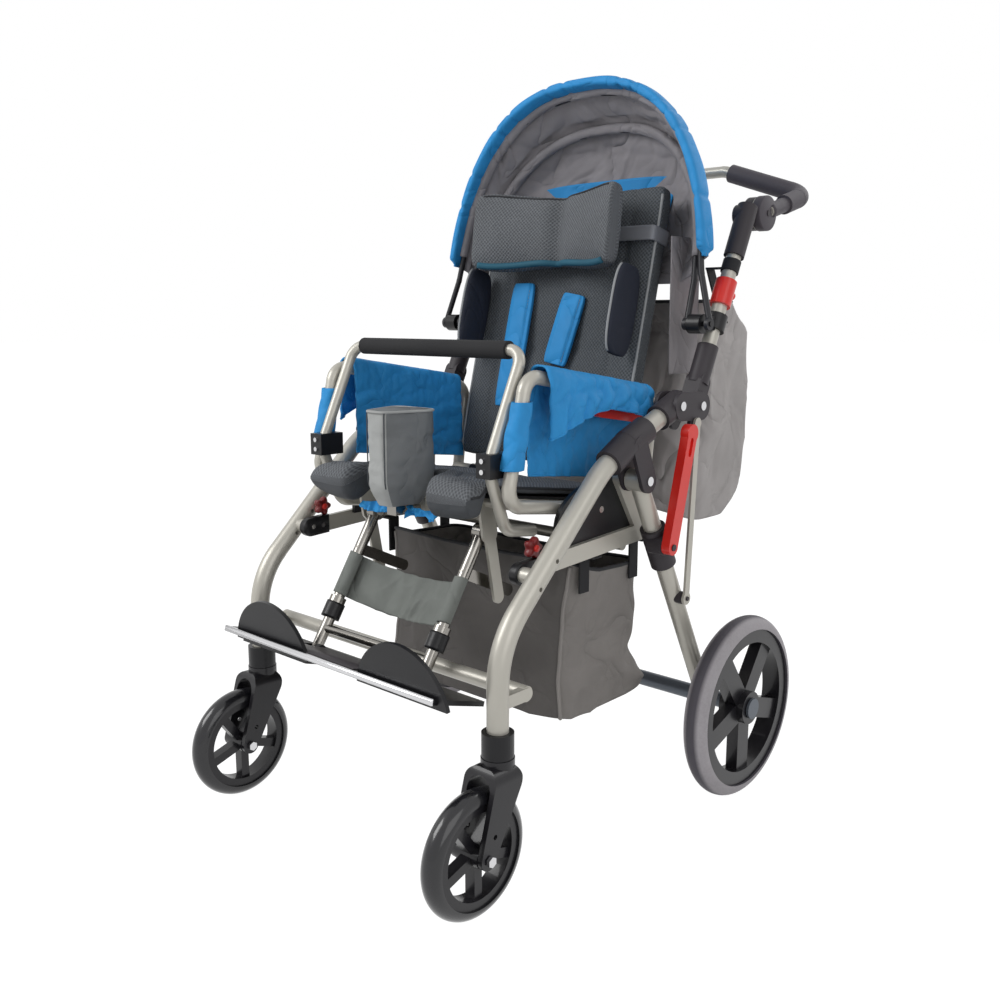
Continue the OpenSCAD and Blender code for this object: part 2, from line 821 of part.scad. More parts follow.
module seat_frame() {
    inner = loop_x - loop_d / 2 + 3;
    color("silver") difference() {
        union() {
            both() seat_loop();
            for (s = [0.12, 0.52, 0.9])
                pin(-inner, inner, mix(loop_low_front, loop_low_rear, s), 16);
            both() pin(back_tube_x + back_tube_d / 2 + 3, loop_x - 4, recline_at, 22);
            pommel_socket();
        }
        both() pin(loop_x - loop_d, plate_x, tilt_at, pin_d + 2 * run_gap);
        both() pin(0, loop_x - 6, recline_at, pin_d + 2 * run_gap);
    }
}

// Frame of reference along the seat: u from front to rear, w up from the loop's axis
function seat_at(y, w) = let (s = (y - loop_low_front.x) / (loop_low_rear.x - loop_low_front.x))
    mix(loop_low_front, loop_low_rear, s) + [sin(seat_slope), cos(seat_slope)] * w;

module seat_pan() {
    pan_w = grab_x - grab_d / 2 - face_gap;
    a = seat_at(pan_front, pan_low);
    b = seat_at(seat_rear, pan_low);
    color("#2a2a2e") difference() {
        side_plate(-pan_w, 2 * pan_w)
            polygon([a, b, b + [0, pan_t], a + [0, pan_t]]);
        translate([-pan_notch, seat_front, 0]) cube([2 * pan_notch, notch_depth + 2, 1000]);
    }
}

pan_low = 8;
notch_depth = 80;
notch_w = pommel_w / 2 + 34;
pan_notch = notch_w + 13;
roll_depth = 28;
roll_low_z = 500;
roll_r = 24;

// Height of the cushion's top and underside at y, drawn in at the front roll and at the rear
function cushion_top(y) = seat_at(y, pan_low + pan_t + small_gap + seat_thick).y;
function cushion_flat(y) = seat_at(y, pan_low + pan_t + small_gap).y;
function cushion_low(y) = y < seat_front + roll_depth ? roll_low_z : cushion_flat(y);
function cushion_draw(y) = let (
    nose = min(1, (y - seat_front) / roll_r),
    tail = min(1, (seat_rear - y) / (seat_thick / 2)))
    max(0.2, sqrt(max(0, 1 - pow(1 - nose, 2))) * sqrt(max(0, 1 - pow(1 - tail, 2))));

// Places across the cushion, from its left edge to its right edge
cushion_shares = [1, 0.97, 0.9, 0.75, 0.62, 0.53, 0.47, 0.42, 0.36, 0.2, 0];
cushion_across = concat(cushion_shares, [for (i = [9 : -1 : 0]) -cushion_shares[i]]);

// Two thigh halves with a rolled front and a channel between them
function cushion_point(y, u, side) = let (
    x = u * seat_w / 2,
    notch = exp(-pow(abs(x) / notch_w, 10)),
    share = (y - seat_front) / (seat_rear - seat_front),
    edge = sqrt(max(0, 1 - pow(abs(u), 10))),
    channel = 9 * exp(-pow(x / 34, 2)) * (0.25 + 0.75 * exp(-pow(share / 0.4, 2))),
    top = cushion_top(y) - channel,
    low = mix(cushion_low(y), cushion_flat(y), min(1, 1.6 * notch)),
    mid = mix(low, cushion_top(y), 0.5),
    z = side > 0 ? mix(mid, top, edge * cushion_draw(y)) : mix(mid, low, edge * cushion_draw(y)))
    [x, y + notch_depth * notch * pow(1 - share, 3), z];

function cushion_ring(y) = concat([for (u = cushion_across) cushion_point(y, u, 1)],
    [for (i = [len(cushion_across) - 2 : -1 : 1]) cushion_point(y, cushion_across[i], -1)]);

module seat_cushion() {
    roll_end = seat_front + roll_depth;
    fronts = [for (d = [0, 2, 7, 15, 24]) seat_front + d];
    backs = [for (d = [150, 60, 22, 8, 3, 0]) seat_rear - d];
    behind = [roll_end - 0.2, roll_end, roll_end + 20, roll_end + 60];
    color("#606468") loft([for (y = concat(fronts, behind, backs)) cushion_ring(y)], true);
}

// Arm covers: cloth drawn over the arm tube and hung down both sides
function arm_ring(s) = let (
    p = mix(mix(loop_high_front, loop_high_rear, 0.09), mix(loop_high_front, loop_high_rear, 0.9), s),
    out = loop_d / 2 + 1 + 8 * fullness(s, 4),
    inn = loop_d / 2 + 1 + 1.5,
    in_low = mix(134, 126, s),
    out_low = 28 + 58 * pow(max(0, 1 - s / 0.55), 1.4) + 8 * pow(s, 6),
    t_in = loop_d / 2 + 0.6)
    [for (q = concat(
        [[-inn - 3, -in_low], [-inn - 4, -in_low * 0.6], [-inn - 3.5, -in_low * 0.25], [-inn - 3, 0]],
        [for (t = [150 : -30 : 30]) [(cos(t) > 0 ? out : inn + 3) * cos(t), (loop_d / 2 + 7) * sin(t)]],
        [[out, 0], [out + 2, -out_low * 0.3], [out + 3, -out_low * 0.7], [out + 1, -out_low]],
        [[t_in + 1, -out_low], [t_in + 0.4, -out_low * 0.6], [t_in, -out_low * 0.3], [t_in, 0]],
        [for (t = [30 : 30 : 150]) [t_in * cos(t), t_in * sin(t)] / cos(15)],
        [[-t_in, 0], [-t_in, -in_low * 0.25], [-t_in - 0.4, -in_low * 0.6], [-t_in - 0.4, -in_low]]))
        [loop_x + q.x, p.x, p.y + q.y]];

module arm_covers() {
    color("#3a8cc8") both() loft([for (s = [0 : 0.1 : 1]) arm_ring(s)], true);
}

// Red release catch under each arm
module arm_catches() {
    p = mix(loop_high_front, loop_high_rear, 0.55);
    q = mix(loop_high_front, loop_high_rear, 0.84);
    catch_w = 32;
    catch_drop = (loop_d + catch_w) / 2 + 3 * small_gap;
    color("#d22a24") both()
        side_plate(loop_x - 5, 10) link(p - [0, catch_drop], q - [0, catch_drop], catch_w);
}

// Plates under the seat front that carry the leg rest pivots
module leg_hangers() {
    cross_at = mix(loop_low_front, loop_low_rear, 0.12);
    color("silver") both() difference() {
        union() {
            side_plate(hanger_x, 5) {
                link(cross_at - [0, 8], leg_at, 30);
                link(leg_at, [-368, 372], 20);
            }
            pin(leg_x - leg_d / 2 - 4, hanger_x, leg_at, pin_d);
        }
        pin(0, half_w, cross_at, 16);
    }
}

// Grab bar

grab_bend = 24;

module grab_tube() {
    side = [for (p = [grab_end, grab_hook, grab_knee, grab_top]) spot(grab_x, p)];
    bar(concat(side, [for (i = [3 : -1 : 0]) [-side[i].x, side[i].y, side[i].z]]), grab_d, grab_bend);
}

module grab_bar() {
    color("silver") grab_tube();
}

module grab_foam() {
    side = grab_x - grab_bend - 2;
    color("#2e2e30") difference() {
        pin(-side, side, grab_top, 26);
        pin(-side - 1, side + 1, grab_top, grab_d);
    }
}

module grab_clamps() {
    post_in = loop_x - loop_d / 2 - face_gap;
    color("#242428") both() difference() {
        side_plate(grab_x - grab_d / 2 - 4, post_in - grab_x + grab_d / 2 + 4)
            translate(mix(grab_knee, grab_top, 0.06) + [-15, -24]) square([44, 34]);
        grab_tube();
    }
}

// Pommel

pommel_mid_y = seat_front + 29;
pommel_low_z = 506;
pommel_h = 142;
pommel_depth = 90;
pommel_front_share = 0.43;
stem_w = 20;
stem_t = 10;
stem_z = 490;
stem_front = pommel_mid_y - 12;
stem_rear = -350;

// The pommel is a wedge, narrow at the front, and drawn in at its foot
function pommel_ring(s) = let (
    full = s < 0.3 ? mix(0.62, 1, sin(s * 300)) : 1 - 0.05 * pow(max(0, s - 0.9) / 0.1, 2),
    outline = ring2(full, full, 0.36, 32))
    [for (p = outline) [p.x * pommel_w / 2 * mix(pommel_front_share, 1, (p.y + 1) / 2),
        pommel_mid_y + p.y * pommel_depth / 2, pommel_low_z + pommel_h * s]];

module pommel_pad() {
    color("#70747a") loft([for (s = [0, 0.06, 0.14, 0.24, 0.34, 0.55, 0.75, 0.9, 0.97, 1]) pommel_ring(s)]);
}

module pommel_stem() {
    color("gainsboro") translate([-stem_w / 2, stem_front, stem_z]) {
        cube([stem_w, stem_rear - stem_front, stem_t]);
        cube([stem_w, 24, pommel_low_z - stem_z - small_gap]);
    }
}

// Socket for the pommel's stem, under the front cross tube of the seat
module pommel_socket() {
    top = mix(loop_low_front, loop_low_rear, 0.12).y - 4;
    socket_front = stem_rear - 57;
    difference() {
        translate([-stem_w, socket_front, stem_z - 6]) cube([2 * stem_w, 53, top - stem_z + 6]);
        translate([-stem_w / 2 - 0.1, socket_front - 30, stem_z - 0.1])
            cube([stem_w + 0.2, 100, stem_t + 0.2]);
    }
}

// Leg rest

function leg_at_s(s) = leg_at + leg_dir * s;
leg_len = norm(leg_run);

module leg_tubes() {
    color("gainsboro") difference() {
        union() {
            both() {
                rod(spot(leg_x, leg_at), spot(leg_x, leg_at_s(leg_len)), leg_d);
                pin(leg_x - leg_d / 2 + 1, leg_x + leg_d / 2 - 1, leg_at, leg_d + 8);
                rod(spot(leg_x, leg_at_s(150)), spot(leg_x, leg_at_s(172)), leg_d + 8);
                side_plate(leg_x - 2.5, 5) link(leg_at_s(66), [-330, 372], 18);
            }
            pin(-leg_x, leg_x, leg_at_s(leg_len - 40), 14);
        }
        both() pin(leg_x - side_reach, leg_x + side_reach, leg_at, pin_d + 2 * run_gap);
        both() pin(leg_x - side_reach, leg_x + side_reach, leg_at_s(leg_len - 2), pin_d);
    }
}

strap_from = 78;
strap_to = 140;

function strap_ring(x) = let (
    slack = max(0, 1 - pow(x / (leg_x - 8), 2)),
    sag = 26 * slack,
    drop = 7 * slack,
    face = leg_d / 2 + 0.4)
    [for (q = [[strap_from, face], [strap_from + 20, face - 2], [strap_to - 20, face - 2], [strap_to, face],
               [strap_to, face + 4], [strap_to - 20, face + 3], [strap_from + 20, face + 3],
               [strap_from, face + 4]])
        let (p = leg_at_s(q.x + drop) - leg_fore * (max(q.y, face) + sag)) [x, p.x, p.y]];

module calf_strap() {
    wide = leg_x + 8;
    color("#82868a") loft([for (x = [-wide : wide / 8 : wide + 0.1]) strap_ring(x)]);
}

// Foot board, tipped up at its front, slotted round the leg tubes, and its two upright guards
board_t = 7;
board_low = 4;
board_front = 88;
board_rear = 10;
board_tilt = 17;
board_fore = [-cos(board_tilt), sin(board_tilt)];
board_up = [sin(board_tilt), cos(board_tilt)];
slot_w = leg_d + 4;
slot_end = 21;

function board_at(f, w) = foot_at + board_fore * f + board_up * w;

module board_solid() {
    side_plate(-foot_w / 2, foot_w)
        polygon([board_at(-board_rear, board_low), board_at(board_front, board_low),
                 board_at(board_front, board_low + board_t), board_at(-board_rear, board_low + board_t)]);
}

module foot_board() {
    lug_in = leg_x - leg_d / 2 - 13;
    color("#3a3a3e") {
        difference() {
            board_solid();
            both() side_plate(leg_x - slot_w / 2, slot_w)
                polygon([board_at(-board_rear - 9, -9), board_at(slot_end, -9),
                         board_at(slot_end, 30), board_at(-board_rear - 9, 30)]);
        }
        both() {
            side_plate(lug_in, 10) link(board_at(0, 0), board_at(6, board_low + 2), 18);
            pin(lug_in + 2, leg_x + leg_d / 2 + 4, leg_at_s(leg_len - 2), pin_d - 2 * run_gap);
        }
    }
}

guard_w = 172;
guard_h = 62;
guard_t = 6;
guard_lean = 6;
guard_places = [-128, 163];

// Upright half round plates near the front edge of the board
module foot_guards() {
    r = (guard_w * guard_w / 4 + guard_h * guard_h) / (2 * guard_h);
    foot = board_at(board_front - 12, board_low + board_t);
    up = [-sin(guard_lean), cos(guard_lean)];
    color("#1e1e22") difference() {
        for (x = guard_places)
            multmatrix([[1, 0, 0, x], [0, up.x, -up.y, foot.x], [0, up.y, up.x, foot.y], [0, 0, 0, 1]])
                linear_extrude(guard_t) intersection() {
                    translate([0, guard_h - r]) circle(r);
                    translate([-guard_w, -12]) square([2 * guard_w, guard_h + 20]);
                }
        board_solid();
    }
}

// Backrest

function back_at(s, w) = back_foot + back_dir * s + back_out * w;

module back_frame() {
    knee = back_at(30, 0);
    top = back_at(back_h - 30, 0);
    left = [spot(back_tube_x, recline_at), spot(back_tube_x, knee), spot(back_tube_x, top)];
    color("#4a4a4e") union() {
        bar(concat(left, [for (i = [2 : -1 : 0]) [-left[i].x, left[i].y, left[i].z]]), back_tube_d, 30);
        both() pin(back_tube_x - back_tube_d / 2 + 1, back_tube_x + back_tube_d / 2 + 2, recline_at, 24);
        both() pin(back_tube_x, loop_x - 8, recline_at, pin_d);
        side_plate(-back_tube_x, 2 * back_tube_x)
            polygon([back_at(60, back_tube_d / 2 - 3), back_at(back_h - 50, back_tube_d / 2 - 3),
                     back_at(back_h - 50, back_tube_d / 2 + 1), back_at(60, back_tube_d / 2 + 1)]);
    }
}

// Cushion with raised side bolsters
function back_ring(s) = let (
    full = fullness(s, 7),
    half = back_w / 2 * (0.9 + 0.1 * full),
    outline = ring2(half, back_thick / 2 * (0.35 + 0.65 * full), 0.45, 40),
    base = back_at(8 + back_h * s, back_tube_d / 2 + 1 + small_gap + back_thick / 2))
    [for (p = outline) let (
        lift = p.y > 0 ? p.y - full * 10 * exp(-pow(p.x / 96, 2)) + full * 8 * pow(abs(p.x) / half, 6) : p.y,
        q = base + back_out * lift) [p.x, q.x, q.y]];

module back_cushion() {
    stations = [0, 0.02, 0.07, 0.16, 0.3, 0.45, 0.6, 0.75, 0.87, 0.95, 0.98, 1];
    color("#5a5e62") loft([for (s = stations) back_ring(s)]);
}

pad_w = 50;
pad_t = 14;

// Padded shoulder straps: place across, height on the back and sink into it, at the foot and the top
left_pad = [[15, head_s - 219, -6.7], [36, head_s - 99, -6.7]];
right_pad = [[-78, head_s - 297, -4.4], [-78, head_s - 79, -4.4]];

function shoulder_ring(pad, s) = let (
    full = fullness(s, 6),
    place = mix(pad[0], pad[1], s),
    outline = ring2(pad_w / 2 * (0.75 + 0.25 * full), pad_t / 2 * (0.45 + 0.55 * full), 0.5, 16),
    base = back_at(place.y, back_tube_d / 2 + 1 + small_gap + back_thick + small_gap + place.z + pad_t / 2))
    [for (p = outline) let (q = base + back_out * p.y) [place.x + p.x, q.x, q.y]];

module shoulder_pads() {
    color("#4aa6dc") for (pad = [left_pad, right_pad])
        loft([for (s = [0, 0.03, 0.1, 0.3, 0.5, 0.7, 0.9, 0.97, 1]) shoulder_ring(pad, s)]);
}

// Side pads that hold the trunk, curved forward from the cushion's edges
trunk_low = 186;
trunk_high = 330;
trunk_deep = 64;

function trunk_ring(s) = let (
    full = fullness(s, 3),
    outline = ring2(9 * (0.4 + 0.6 * full), trunk_deep / 2 * (0.3 + 0.7 * full), 0.6, 16),
    base = back_at(mix(trunk_low, trunk_high, s), back_tube_d / 2 + back_thick + trunk_deep / 2 + small_gap))
    [for (p = outline) let (q = base + back_out * p.y) [back_w / 2 - 16 + p.x, q.x, q.y]];

module trunk_supports() {
    color("#20304c") both() loft([for (s = [0, 0.03, 0.1, 0.25, 0.5, 0.75, 0.9, 0.97, 1]) trunk_ring(s)]);
}

head_thick = 52;
head_h = 126;
head_dir = [sin(8), cos(8)];
head_out = [-cos(8), sin(8)];
strap_w = 61.1;

// Webbing that holds the head cushion to the backrest
module head_straps() {
    inner = 62;
    outer = back_w / 2 + 1.9;
    low = head_s - 14;
    high = head_s + 10;
    color("#84868c") both() {
        side_plate(inner, outer - inner)
            polygon([back_at(low, strap_w), back_at(high, strap_w),
                     back_at(high, strap_w + 2), back_at(low, strap_w + 2)]);
        side_plate(back_w / 2 - 0.1, 2)
            polygon([back_at(low, 20), back_at(high, 20),
                     back_at(high, strap_w + 2), back_at(low, strap_w + 2)]);
    }
}

// Head cushion with wings that come forward at both ends
function head_ring(s) = let (
    full = fullness(s, 5),
    x = mix(-head_w / 2, head_w / 2, s),
    wing = 40 * pow(abs(2 * s - 1), 2.2),
    outline = ring2(head_thick / 2 * (0.4 + 0.6 * full), head_h / 2 * (0.72 + 0.28 * full), 0.5, 24))
    [for (p = outline) let (
        rise = p.y - 5 * cos(360 * (s - 0.5)) * sign(p.y),
        q = head_at + head_out * (p.x + wing) + head_dir * rise) [x, q.x, q.y]];

module head_cushion() {
    stations = [0, 0.015, 0.05, 0.12, 0.24, 0.38, 0.5, 0.62, 0.76, 0.88, 0.95, 0.985, 1];
    color("#686c70") loft([for (s = stations) head_ring(s)]);
}

module on_side(x) {
    translate([x, 0, 0]) children();
}

middle() front_legs();
middle() stem_sockets();
middle() frame_connectors();
middle() upper_tubes();
middle() hinge_housings();
middle() cross_tubes();
middle() side_rails();
middle() tilt_plates();
middle() frame_pins();
middle() basket();
middle() basket_straps();
middle() on_side(half_w) caster_fork();  // caster_fork_left
middle() on_side(-half_w) caster_fork();  // caster_fork_right
middle() on_side(half_w) caster_rim();  // caster_rim_left
middle() on_side(-half_w) caster_rim();  // caster_rim_right
middle() on_side(half_w) caster_tyre();  // caster_tyre_left
middle() on_side(-half_w) caster_tyre();  // caster_tyre_right
middle() rear_legs();
middle() leg_blocks();
middle() rear_axle();
middle() rear_rim();  // rear_rim_left
middle() mirror([1, 0, 0]) rear_rim();  // rear_rim_right
middle() rear_tyre();  // rear_tyre_left
middle() mirror([1, 0, 0]) rear_tyre();  // rear_tyre_right
middle() fold_struts();
middle() lock_lever();  // lock_lever_left
middle() mirror([1, 0, 0]) lock_lever();  // lock_lever_right
middle() push_tubes();
middle() push_sleeves();
middle() catch_collars();
middle() handle_sockets();
middle() hood_brackets();
middle() hood_cover();
middle() back_bag();
middle() bag_straps();
middle() handlebar();
middle() handle_grips();
middle() front_bow();
middle() mid_bow();
middle() seat_frame();
middle() seat_pan();
middle() seat_cushion();
middle() arm_covers();
middle() arm_catches();
middle() leg_hangers();
middle() grab_bar();
middle() grab_foam();
middle() grab_clamps();
middle() pommel_pad();
middle() pommel_stem();
middle() leg_tubes();
middle() calf_strap();
middle() foot_board();
middle() foot_guards();
middle() back_frame();
middle() back_cushion();
middle() shoulder_pads();
middle() trunk_supports();
middle() head_straps();
middle() head_cushion();
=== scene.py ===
"""Looks of a special needs buggy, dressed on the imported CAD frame.

Pieces are planned in millimetres measured from the middle of the rear axle, with the ground at
zero, and moved into the part's own frame in metres when their meshes are made. The child faces
-Y and the child's left is +X.
"""

import logging
import math
from dataclasses import dataclass
from enum import Enum
from functools import partial
from typing import Callable, Iterable, Sequence, Union

import bmesh
import bpy
import numpy as np
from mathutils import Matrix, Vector
from mathutils.kdtree import KDTree


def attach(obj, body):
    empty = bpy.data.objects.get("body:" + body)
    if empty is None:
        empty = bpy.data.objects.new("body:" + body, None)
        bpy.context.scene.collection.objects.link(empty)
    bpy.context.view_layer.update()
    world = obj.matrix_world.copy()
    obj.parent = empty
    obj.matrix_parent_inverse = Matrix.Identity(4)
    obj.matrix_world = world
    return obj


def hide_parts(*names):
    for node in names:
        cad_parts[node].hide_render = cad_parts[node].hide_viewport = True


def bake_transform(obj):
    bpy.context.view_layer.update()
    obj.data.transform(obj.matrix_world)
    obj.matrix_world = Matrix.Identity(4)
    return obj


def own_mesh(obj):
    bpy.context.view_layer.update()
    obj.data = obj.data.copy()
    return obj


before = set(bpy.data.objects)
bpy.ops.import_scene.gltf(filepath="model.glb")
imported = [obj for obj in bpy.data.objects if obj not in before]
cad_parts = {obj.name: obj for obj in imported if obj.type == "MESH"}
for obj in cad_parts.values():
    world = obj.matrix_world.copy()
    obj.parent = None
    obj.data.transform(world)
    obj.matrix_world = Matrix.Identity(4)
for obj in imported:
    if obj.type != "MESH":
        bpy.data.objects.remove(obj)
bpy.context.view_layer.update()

log = logging.getLogger("buggy")
AXLE_TO_MIDDLE = 187.5
SEED = 7
SIDES = {"left": 1, "right": -1}

Points = np.ndarray
Number = Union["Wire", float]


def metres(points: Sequence) -> Points:
    """Moves planned places into the part's frame.

    Args:
        points: places in millimetres from the rear axle.

    Returns:
        The same places in metres from the part's middle.
    """
    out = np.array(points, float)
    out[..., 1] += AXLE_TO_MIDDLE
    return out / 1000


def linear(srgb: Sequence[float]) -> tuple[float, float, float, float]:
    """Turns a screen colour into the light it stands for.

    Args:
        srgb: red, green and blue from 0 to 255.

    Returns:
        Linear red, green and blue with full alpha.
    """
    parts = [c / 255 for c in srgb]
    low, curve = 0.04045, 2.4
    made = [c / 12.92 if c <= low else ((c + 0.055) / 1.055) ** curve for c in parts]
    return (made[0], made[1], made[2], 1.0)


# Shading


class Wire:
    """A shader value; sums and products of wires add math nodes."""

    def __init__(self, graph: "Graph", socket: bpy.types.NodeSocket) -> None:
        self.graph = graph
        self.socket = socket

    def maths(self, operation: str, *others: Number) -> "Wire":
        """Adds a math node.

        Args:
            operation: the node's operation.
            others: its further inputs.

        Returns:
            The node's value.
        """
        inputs = dict(enumerate((self, *others)))
        return self.graph.node("ShaderNodeMath", inputs, operation=operation)

    def __add__(self, other: Number) -> "Wire":
        return self.maths("ADD", other)

    def __sub__(self, other: Number) -> "Wire":
        return self.maths("SUBTRACT", other)

    def __mul__(self, other: Number) -> "Wire":
        return self.maths("MULTIPLY", other)

    def __pow__(self, other: Number) -> "Wire":
        return self.maths("POWER", other)


class Graph:
    """Node tree of one material or world."""

    def __init__(self, tree: bpy.types.NodeTree) -> None:
        self.tree = tree
        tree.nodes.clear()

    def node(self, kind: str, inputs: dict | None = None, output: int | str = 0, **settings) -> Wire:
        """Adds a node.

        Args:
            kind: Blender's name of the node.
            inputs: values or wires by input name or number.
            output: which of its outputs is wanted.
            settings: the node's own properties.

        Returns:
            The wanted output.
        """
        made = self.tree.nodes.new(kind)
        for name, value in settings.items():
            setattr(made, name, value)
        for name, value in (inputs or {}).items():
            if isinstance(value, Wire):
                self.tree.links.new(value.socket, made.inputs[name])
            else:
                made.inputs[name].default_value = value
        return Wire(self, made.outputs[output]) if made.outputs else Wire(self, made.inputs[0])


class Weave(Enum):
    """Relief of a surface."""

    SMOOTH = "smooth"
    GRAIN = "grain"
    CLOTH = "cloth"
    MESH = "mesh"
    TAPE = "tape"


@dataclass(frozen=True)
class Finish:
    """Colour and surface of one material."""

    name: str
    srgb: tuple[int, int, int]
    rough: float
    weave: Weave = Weave.SMOOTH
    metal: float = 0.0
    coat: float = 0.0
    pitch: float = 0.004
    relief: float = 0.25
    vary: float = 0.12
    shine: float = 0.3
    crease: float = 0.0
    tread: tuple[int, int, int] | None = None

    def material(self) -> bpy.types.Material:
        """Makes the material once.

        Returns:
            The material with this finish.
        """
        label = f"look_{self.name}"
        known = bpy.data.materials.get(label)
        if known:
            return known
        made = bpy.data.materials.new(label)
        made.use_nodes = True
        graph = Graph(made.node_tree)
        place = graph.node("ShaderNodeTexCoord", output="Object")
        cloudy = graph.node("ShaderNodeTexNoise", {"Vector": place, "Scale": 14.0, "Detail": 3.0})
        tint, height = self.pattern(graph, place, cloudy)
        base = linear(self.srgb)
        dark = tuple(c * (1 - 2.2 * self.vary) for c in base[:3]) + (1.0,)
        light = tuple(min(1.0, c * (1 + 1.6 * self.vary)) for c in base[:3]) + (1.0,)
        colour = graph.node("ShaderNodeMix", {"Factor": tint, 6: dark, 7: light}, output=2, data_type="RGBA")
        # The tyre's tread is coloured darker than its sides, chosen only by which way the surface faces.
        if self.tread:
            colour = self.darker_tread(graph, colour)
        rough = (cloudy - 0.5) * 0.16 + self.rough
        shade = {
            "Base Color": colour, "Roughness": rough, "Metallic": self.metal, "Coat Weight": self.coat,
            "Specular IOR Level": self.shine,
        }
        if height is not None:
            relief = {"Height": height, "Strength": self.relief, "Distance": self.pitch * 0.5}
            if self.crease:
                relief["Normal"] = self.creased(graph, place)
            shade["Normal"] = graph.node("ShaderNodeBump", relief)
        shader = graph.node("ShaderNodeBsdfPrincipled", shade)
        graph.node("ShaderNodeOutputMaterial", {"Surface": shader})
        return made

    def darker_tread(self, graph: Graph, colour: Wire) -> Wire:
        """Darkens a tyre where it looks away from its axle.

        Args:
            graph: the material's nodes.
            colour: colour of the tyre's sides.

        Returns:
            The colour of sides and tread.
        """
        facing = graph.node("ShaderNodeTexCoord", output="Normal")
        sideways = graph.node("ShaderNodeSeparateXYZ", {"Vector": facing}, output="X").maths("ABSOLUTE")
        share = graph.node("ShaderNodeMapRange", {"Value": sideways, "From Min": 0.3, "From Max": 0.62})
        dark = linear(self.tread)
        return graph.node("ShaderNodeMix", {"Factor": share, 6: dark, 7: colour}, output=2, data_type="RGBA")

    def creased(self, graph: Graph, place: Wire) -> Wire:
        """Builds the relief of soft folds with sharp valleys.

        Args:
            graph: the material's nodes.
            place: object coordinates.

        Returns:
            The folded normal.
        """
        soft = {"Scale": 11.0, "Detail": 2.0, "Roughness": 0.45, "Distortion": 0.8}
        folds = graph.node("ShaderNodeTexNoise", {"Vector": place, **soft})
        valleys = (folds - 0.5).maths("ABSOLUTE") ** 0.7
        return graph.node("ShaderNodeBump", {"Height": valleys, "Strength": 0.7, "Distance": self.crease})

    def pattern(self, graph: Graph, place: Wire, cloudy: Wire) -> tuple[Wire, Wire | None]:
        """Builds the tint and the relief.

        Args:
            graph: the material's nodes.
            place: object coordinates.
            cloudy: slow noise.

        Returns:
            Tint from 0 to 1 and height, or no height for a smooth surface.
        """
        if self.weave == Weave.SMOOTH:
            return cloudy, None
        across = graph.node("ShaderNodeTexCoord", output="UV")
        if self.weave == Weave.GRAIN:
            fine = graph.node("ShaderNodeTexNoise", {"Vector": place, "Scale": 1 / self.pitch, "Detail": 2.0})
            return cloudy * 0.6 + fine * 0.4, fine
        if self.weave == Weave.MESH:
            diagonal = (0.0, 0.0, math.radians(45))
            turned = graph.node("ShaderNodeMapping", {"Vector": across, "Rotation": diagonal})
            cell = graph.node(
                "ShaderNodeTexVoronoi",
                {"Vector": turned, "Scale": 1 / self.pitch, "Randomness": 0.12},
                output="Distance",
                voronoi_dimensions="2D",
            )
            dots = (cell * 1.7) ** 1.5
            return cloudy * 0.3 + dots * 0.75, dots
        threads = {"Vector": across, "Scale": 0.32 / self.pitch}
        way = "X" if self.weave == Weave.TAPE else "Y"
        warp = graph.node("ShaderNodeTexWave", threads, output=1, bands_direction=way)
        weft = graph.node("ShaderNodeTexWave", threads, output=1, bands_direction="X")
        uneven = {"Scale": 22.0, "Detail": 4.0, "Distortion": 0.6}
        crease = graph.node("ShaderNodeTexNoise", {"Vector": place, **uneven})
        return cloudy * 0.55 + crease * 0.35 + warp * 0.1, warp * 0.3 + weft * 0.3 + crease * 1.6


MOULDED = partial(Finish, weave=Weave.GRAIN, pitch=0.0012, relief=0.1, vary=0.05)
FOAMED = partial(Finish, weave=Weave.GRAIN, pitch=0.0016)
FINE_CLOTH = partial(Finish, weave=Weave.CLOTH, pitch=0.0016)
COARSE_CLOTH = partial(Finish, weave=Weave.CLOTH, pitch=0.0018)
SPACER_MESH = partial(Finish, weave=Weave.MESH, pitch=0.0046, relief=0.5, vary=0.3)
WOVEN_TAPE = partial(Finish, weave=Weave.TAPE, pitch=0.002, vary=0.08)

FRAME_SILVER = Finish("frame_silver", (184, 181, 172), 0.36, metal=0.35, vary=0.03)
CHROME = Finish("chrome", (206, 206, 208), 0.16, metal=1.0, vary=0.02)
LEG_STEEL = Finish("leg_steel", (142, 139, 134), 0.22, metal=1.0, vary=0.06)
AXLE_STEEL = Finish("axle_steel", (96, 102, 110), 0.4, metal=0.4, vary=0.06)
BLACK_STEEL = Finish("black_steel", (38, 38, 42), 0.4, vary=0.04)
GREY_PLASTIC = MOULDED("grey_plastic", (54, 50, 54), 0.5)
BLACK_PLASTIC = MOULDED("black_plastic", (22, 22, 25), 0.36)
DARK_RED = Finish("dark_red", (112, 22, 24), 0.4, coat=0.2, vary=0.06)
RED_PLASTIC = Finish("red_plastic", (222, 44, 36), 0.33, coat=0.3, vary=0.04)
RIM_BLACK = Finish("rim_black", (24, 23, 27), 0.35, coat=0.2, vary=0.05)
CASTER_RUBBER = Finish("caster_rubber", (24, 24, 28), 0.26, coat=0.55, vary=0.08)
REAR_RUBBER = Finish("rear_rubber", (166, 162, 166), 0.62, Weave.GRAIN, vary=0.16, tread=(78, 75, 82))
FOAM = FOAMED("foam", (34, 34, 36), 0.8, relief=0.3, vary=0.08)
GRIP = FOAMED("grip", (78, 74, 80), 0.6, relief=0.2, vary=0.06)
BLUE = FINE_CLOTH("blue_cloth", (46, 146, 212), 0.62, relief=0.28, vary=0.16, crease=0.016)
LINING = FINE_CLOTH("lining_cloth", (146, 143, 147), 0.8, relief=0.3, vary=0.2, crease=0.026)
BLOCK = FINE_CLOTH("block_cloth", (116, 119, 121), 0.7, vary=0.14, crease=0.016)
# Paler copy of the pommel's cloth for its front strip: painted light on the front face.
LIT_STRIP = FINE_CLOTH("lit_strip_cloth", (170, 172, 171), 0.8, vary=0.1, crease=0.008)
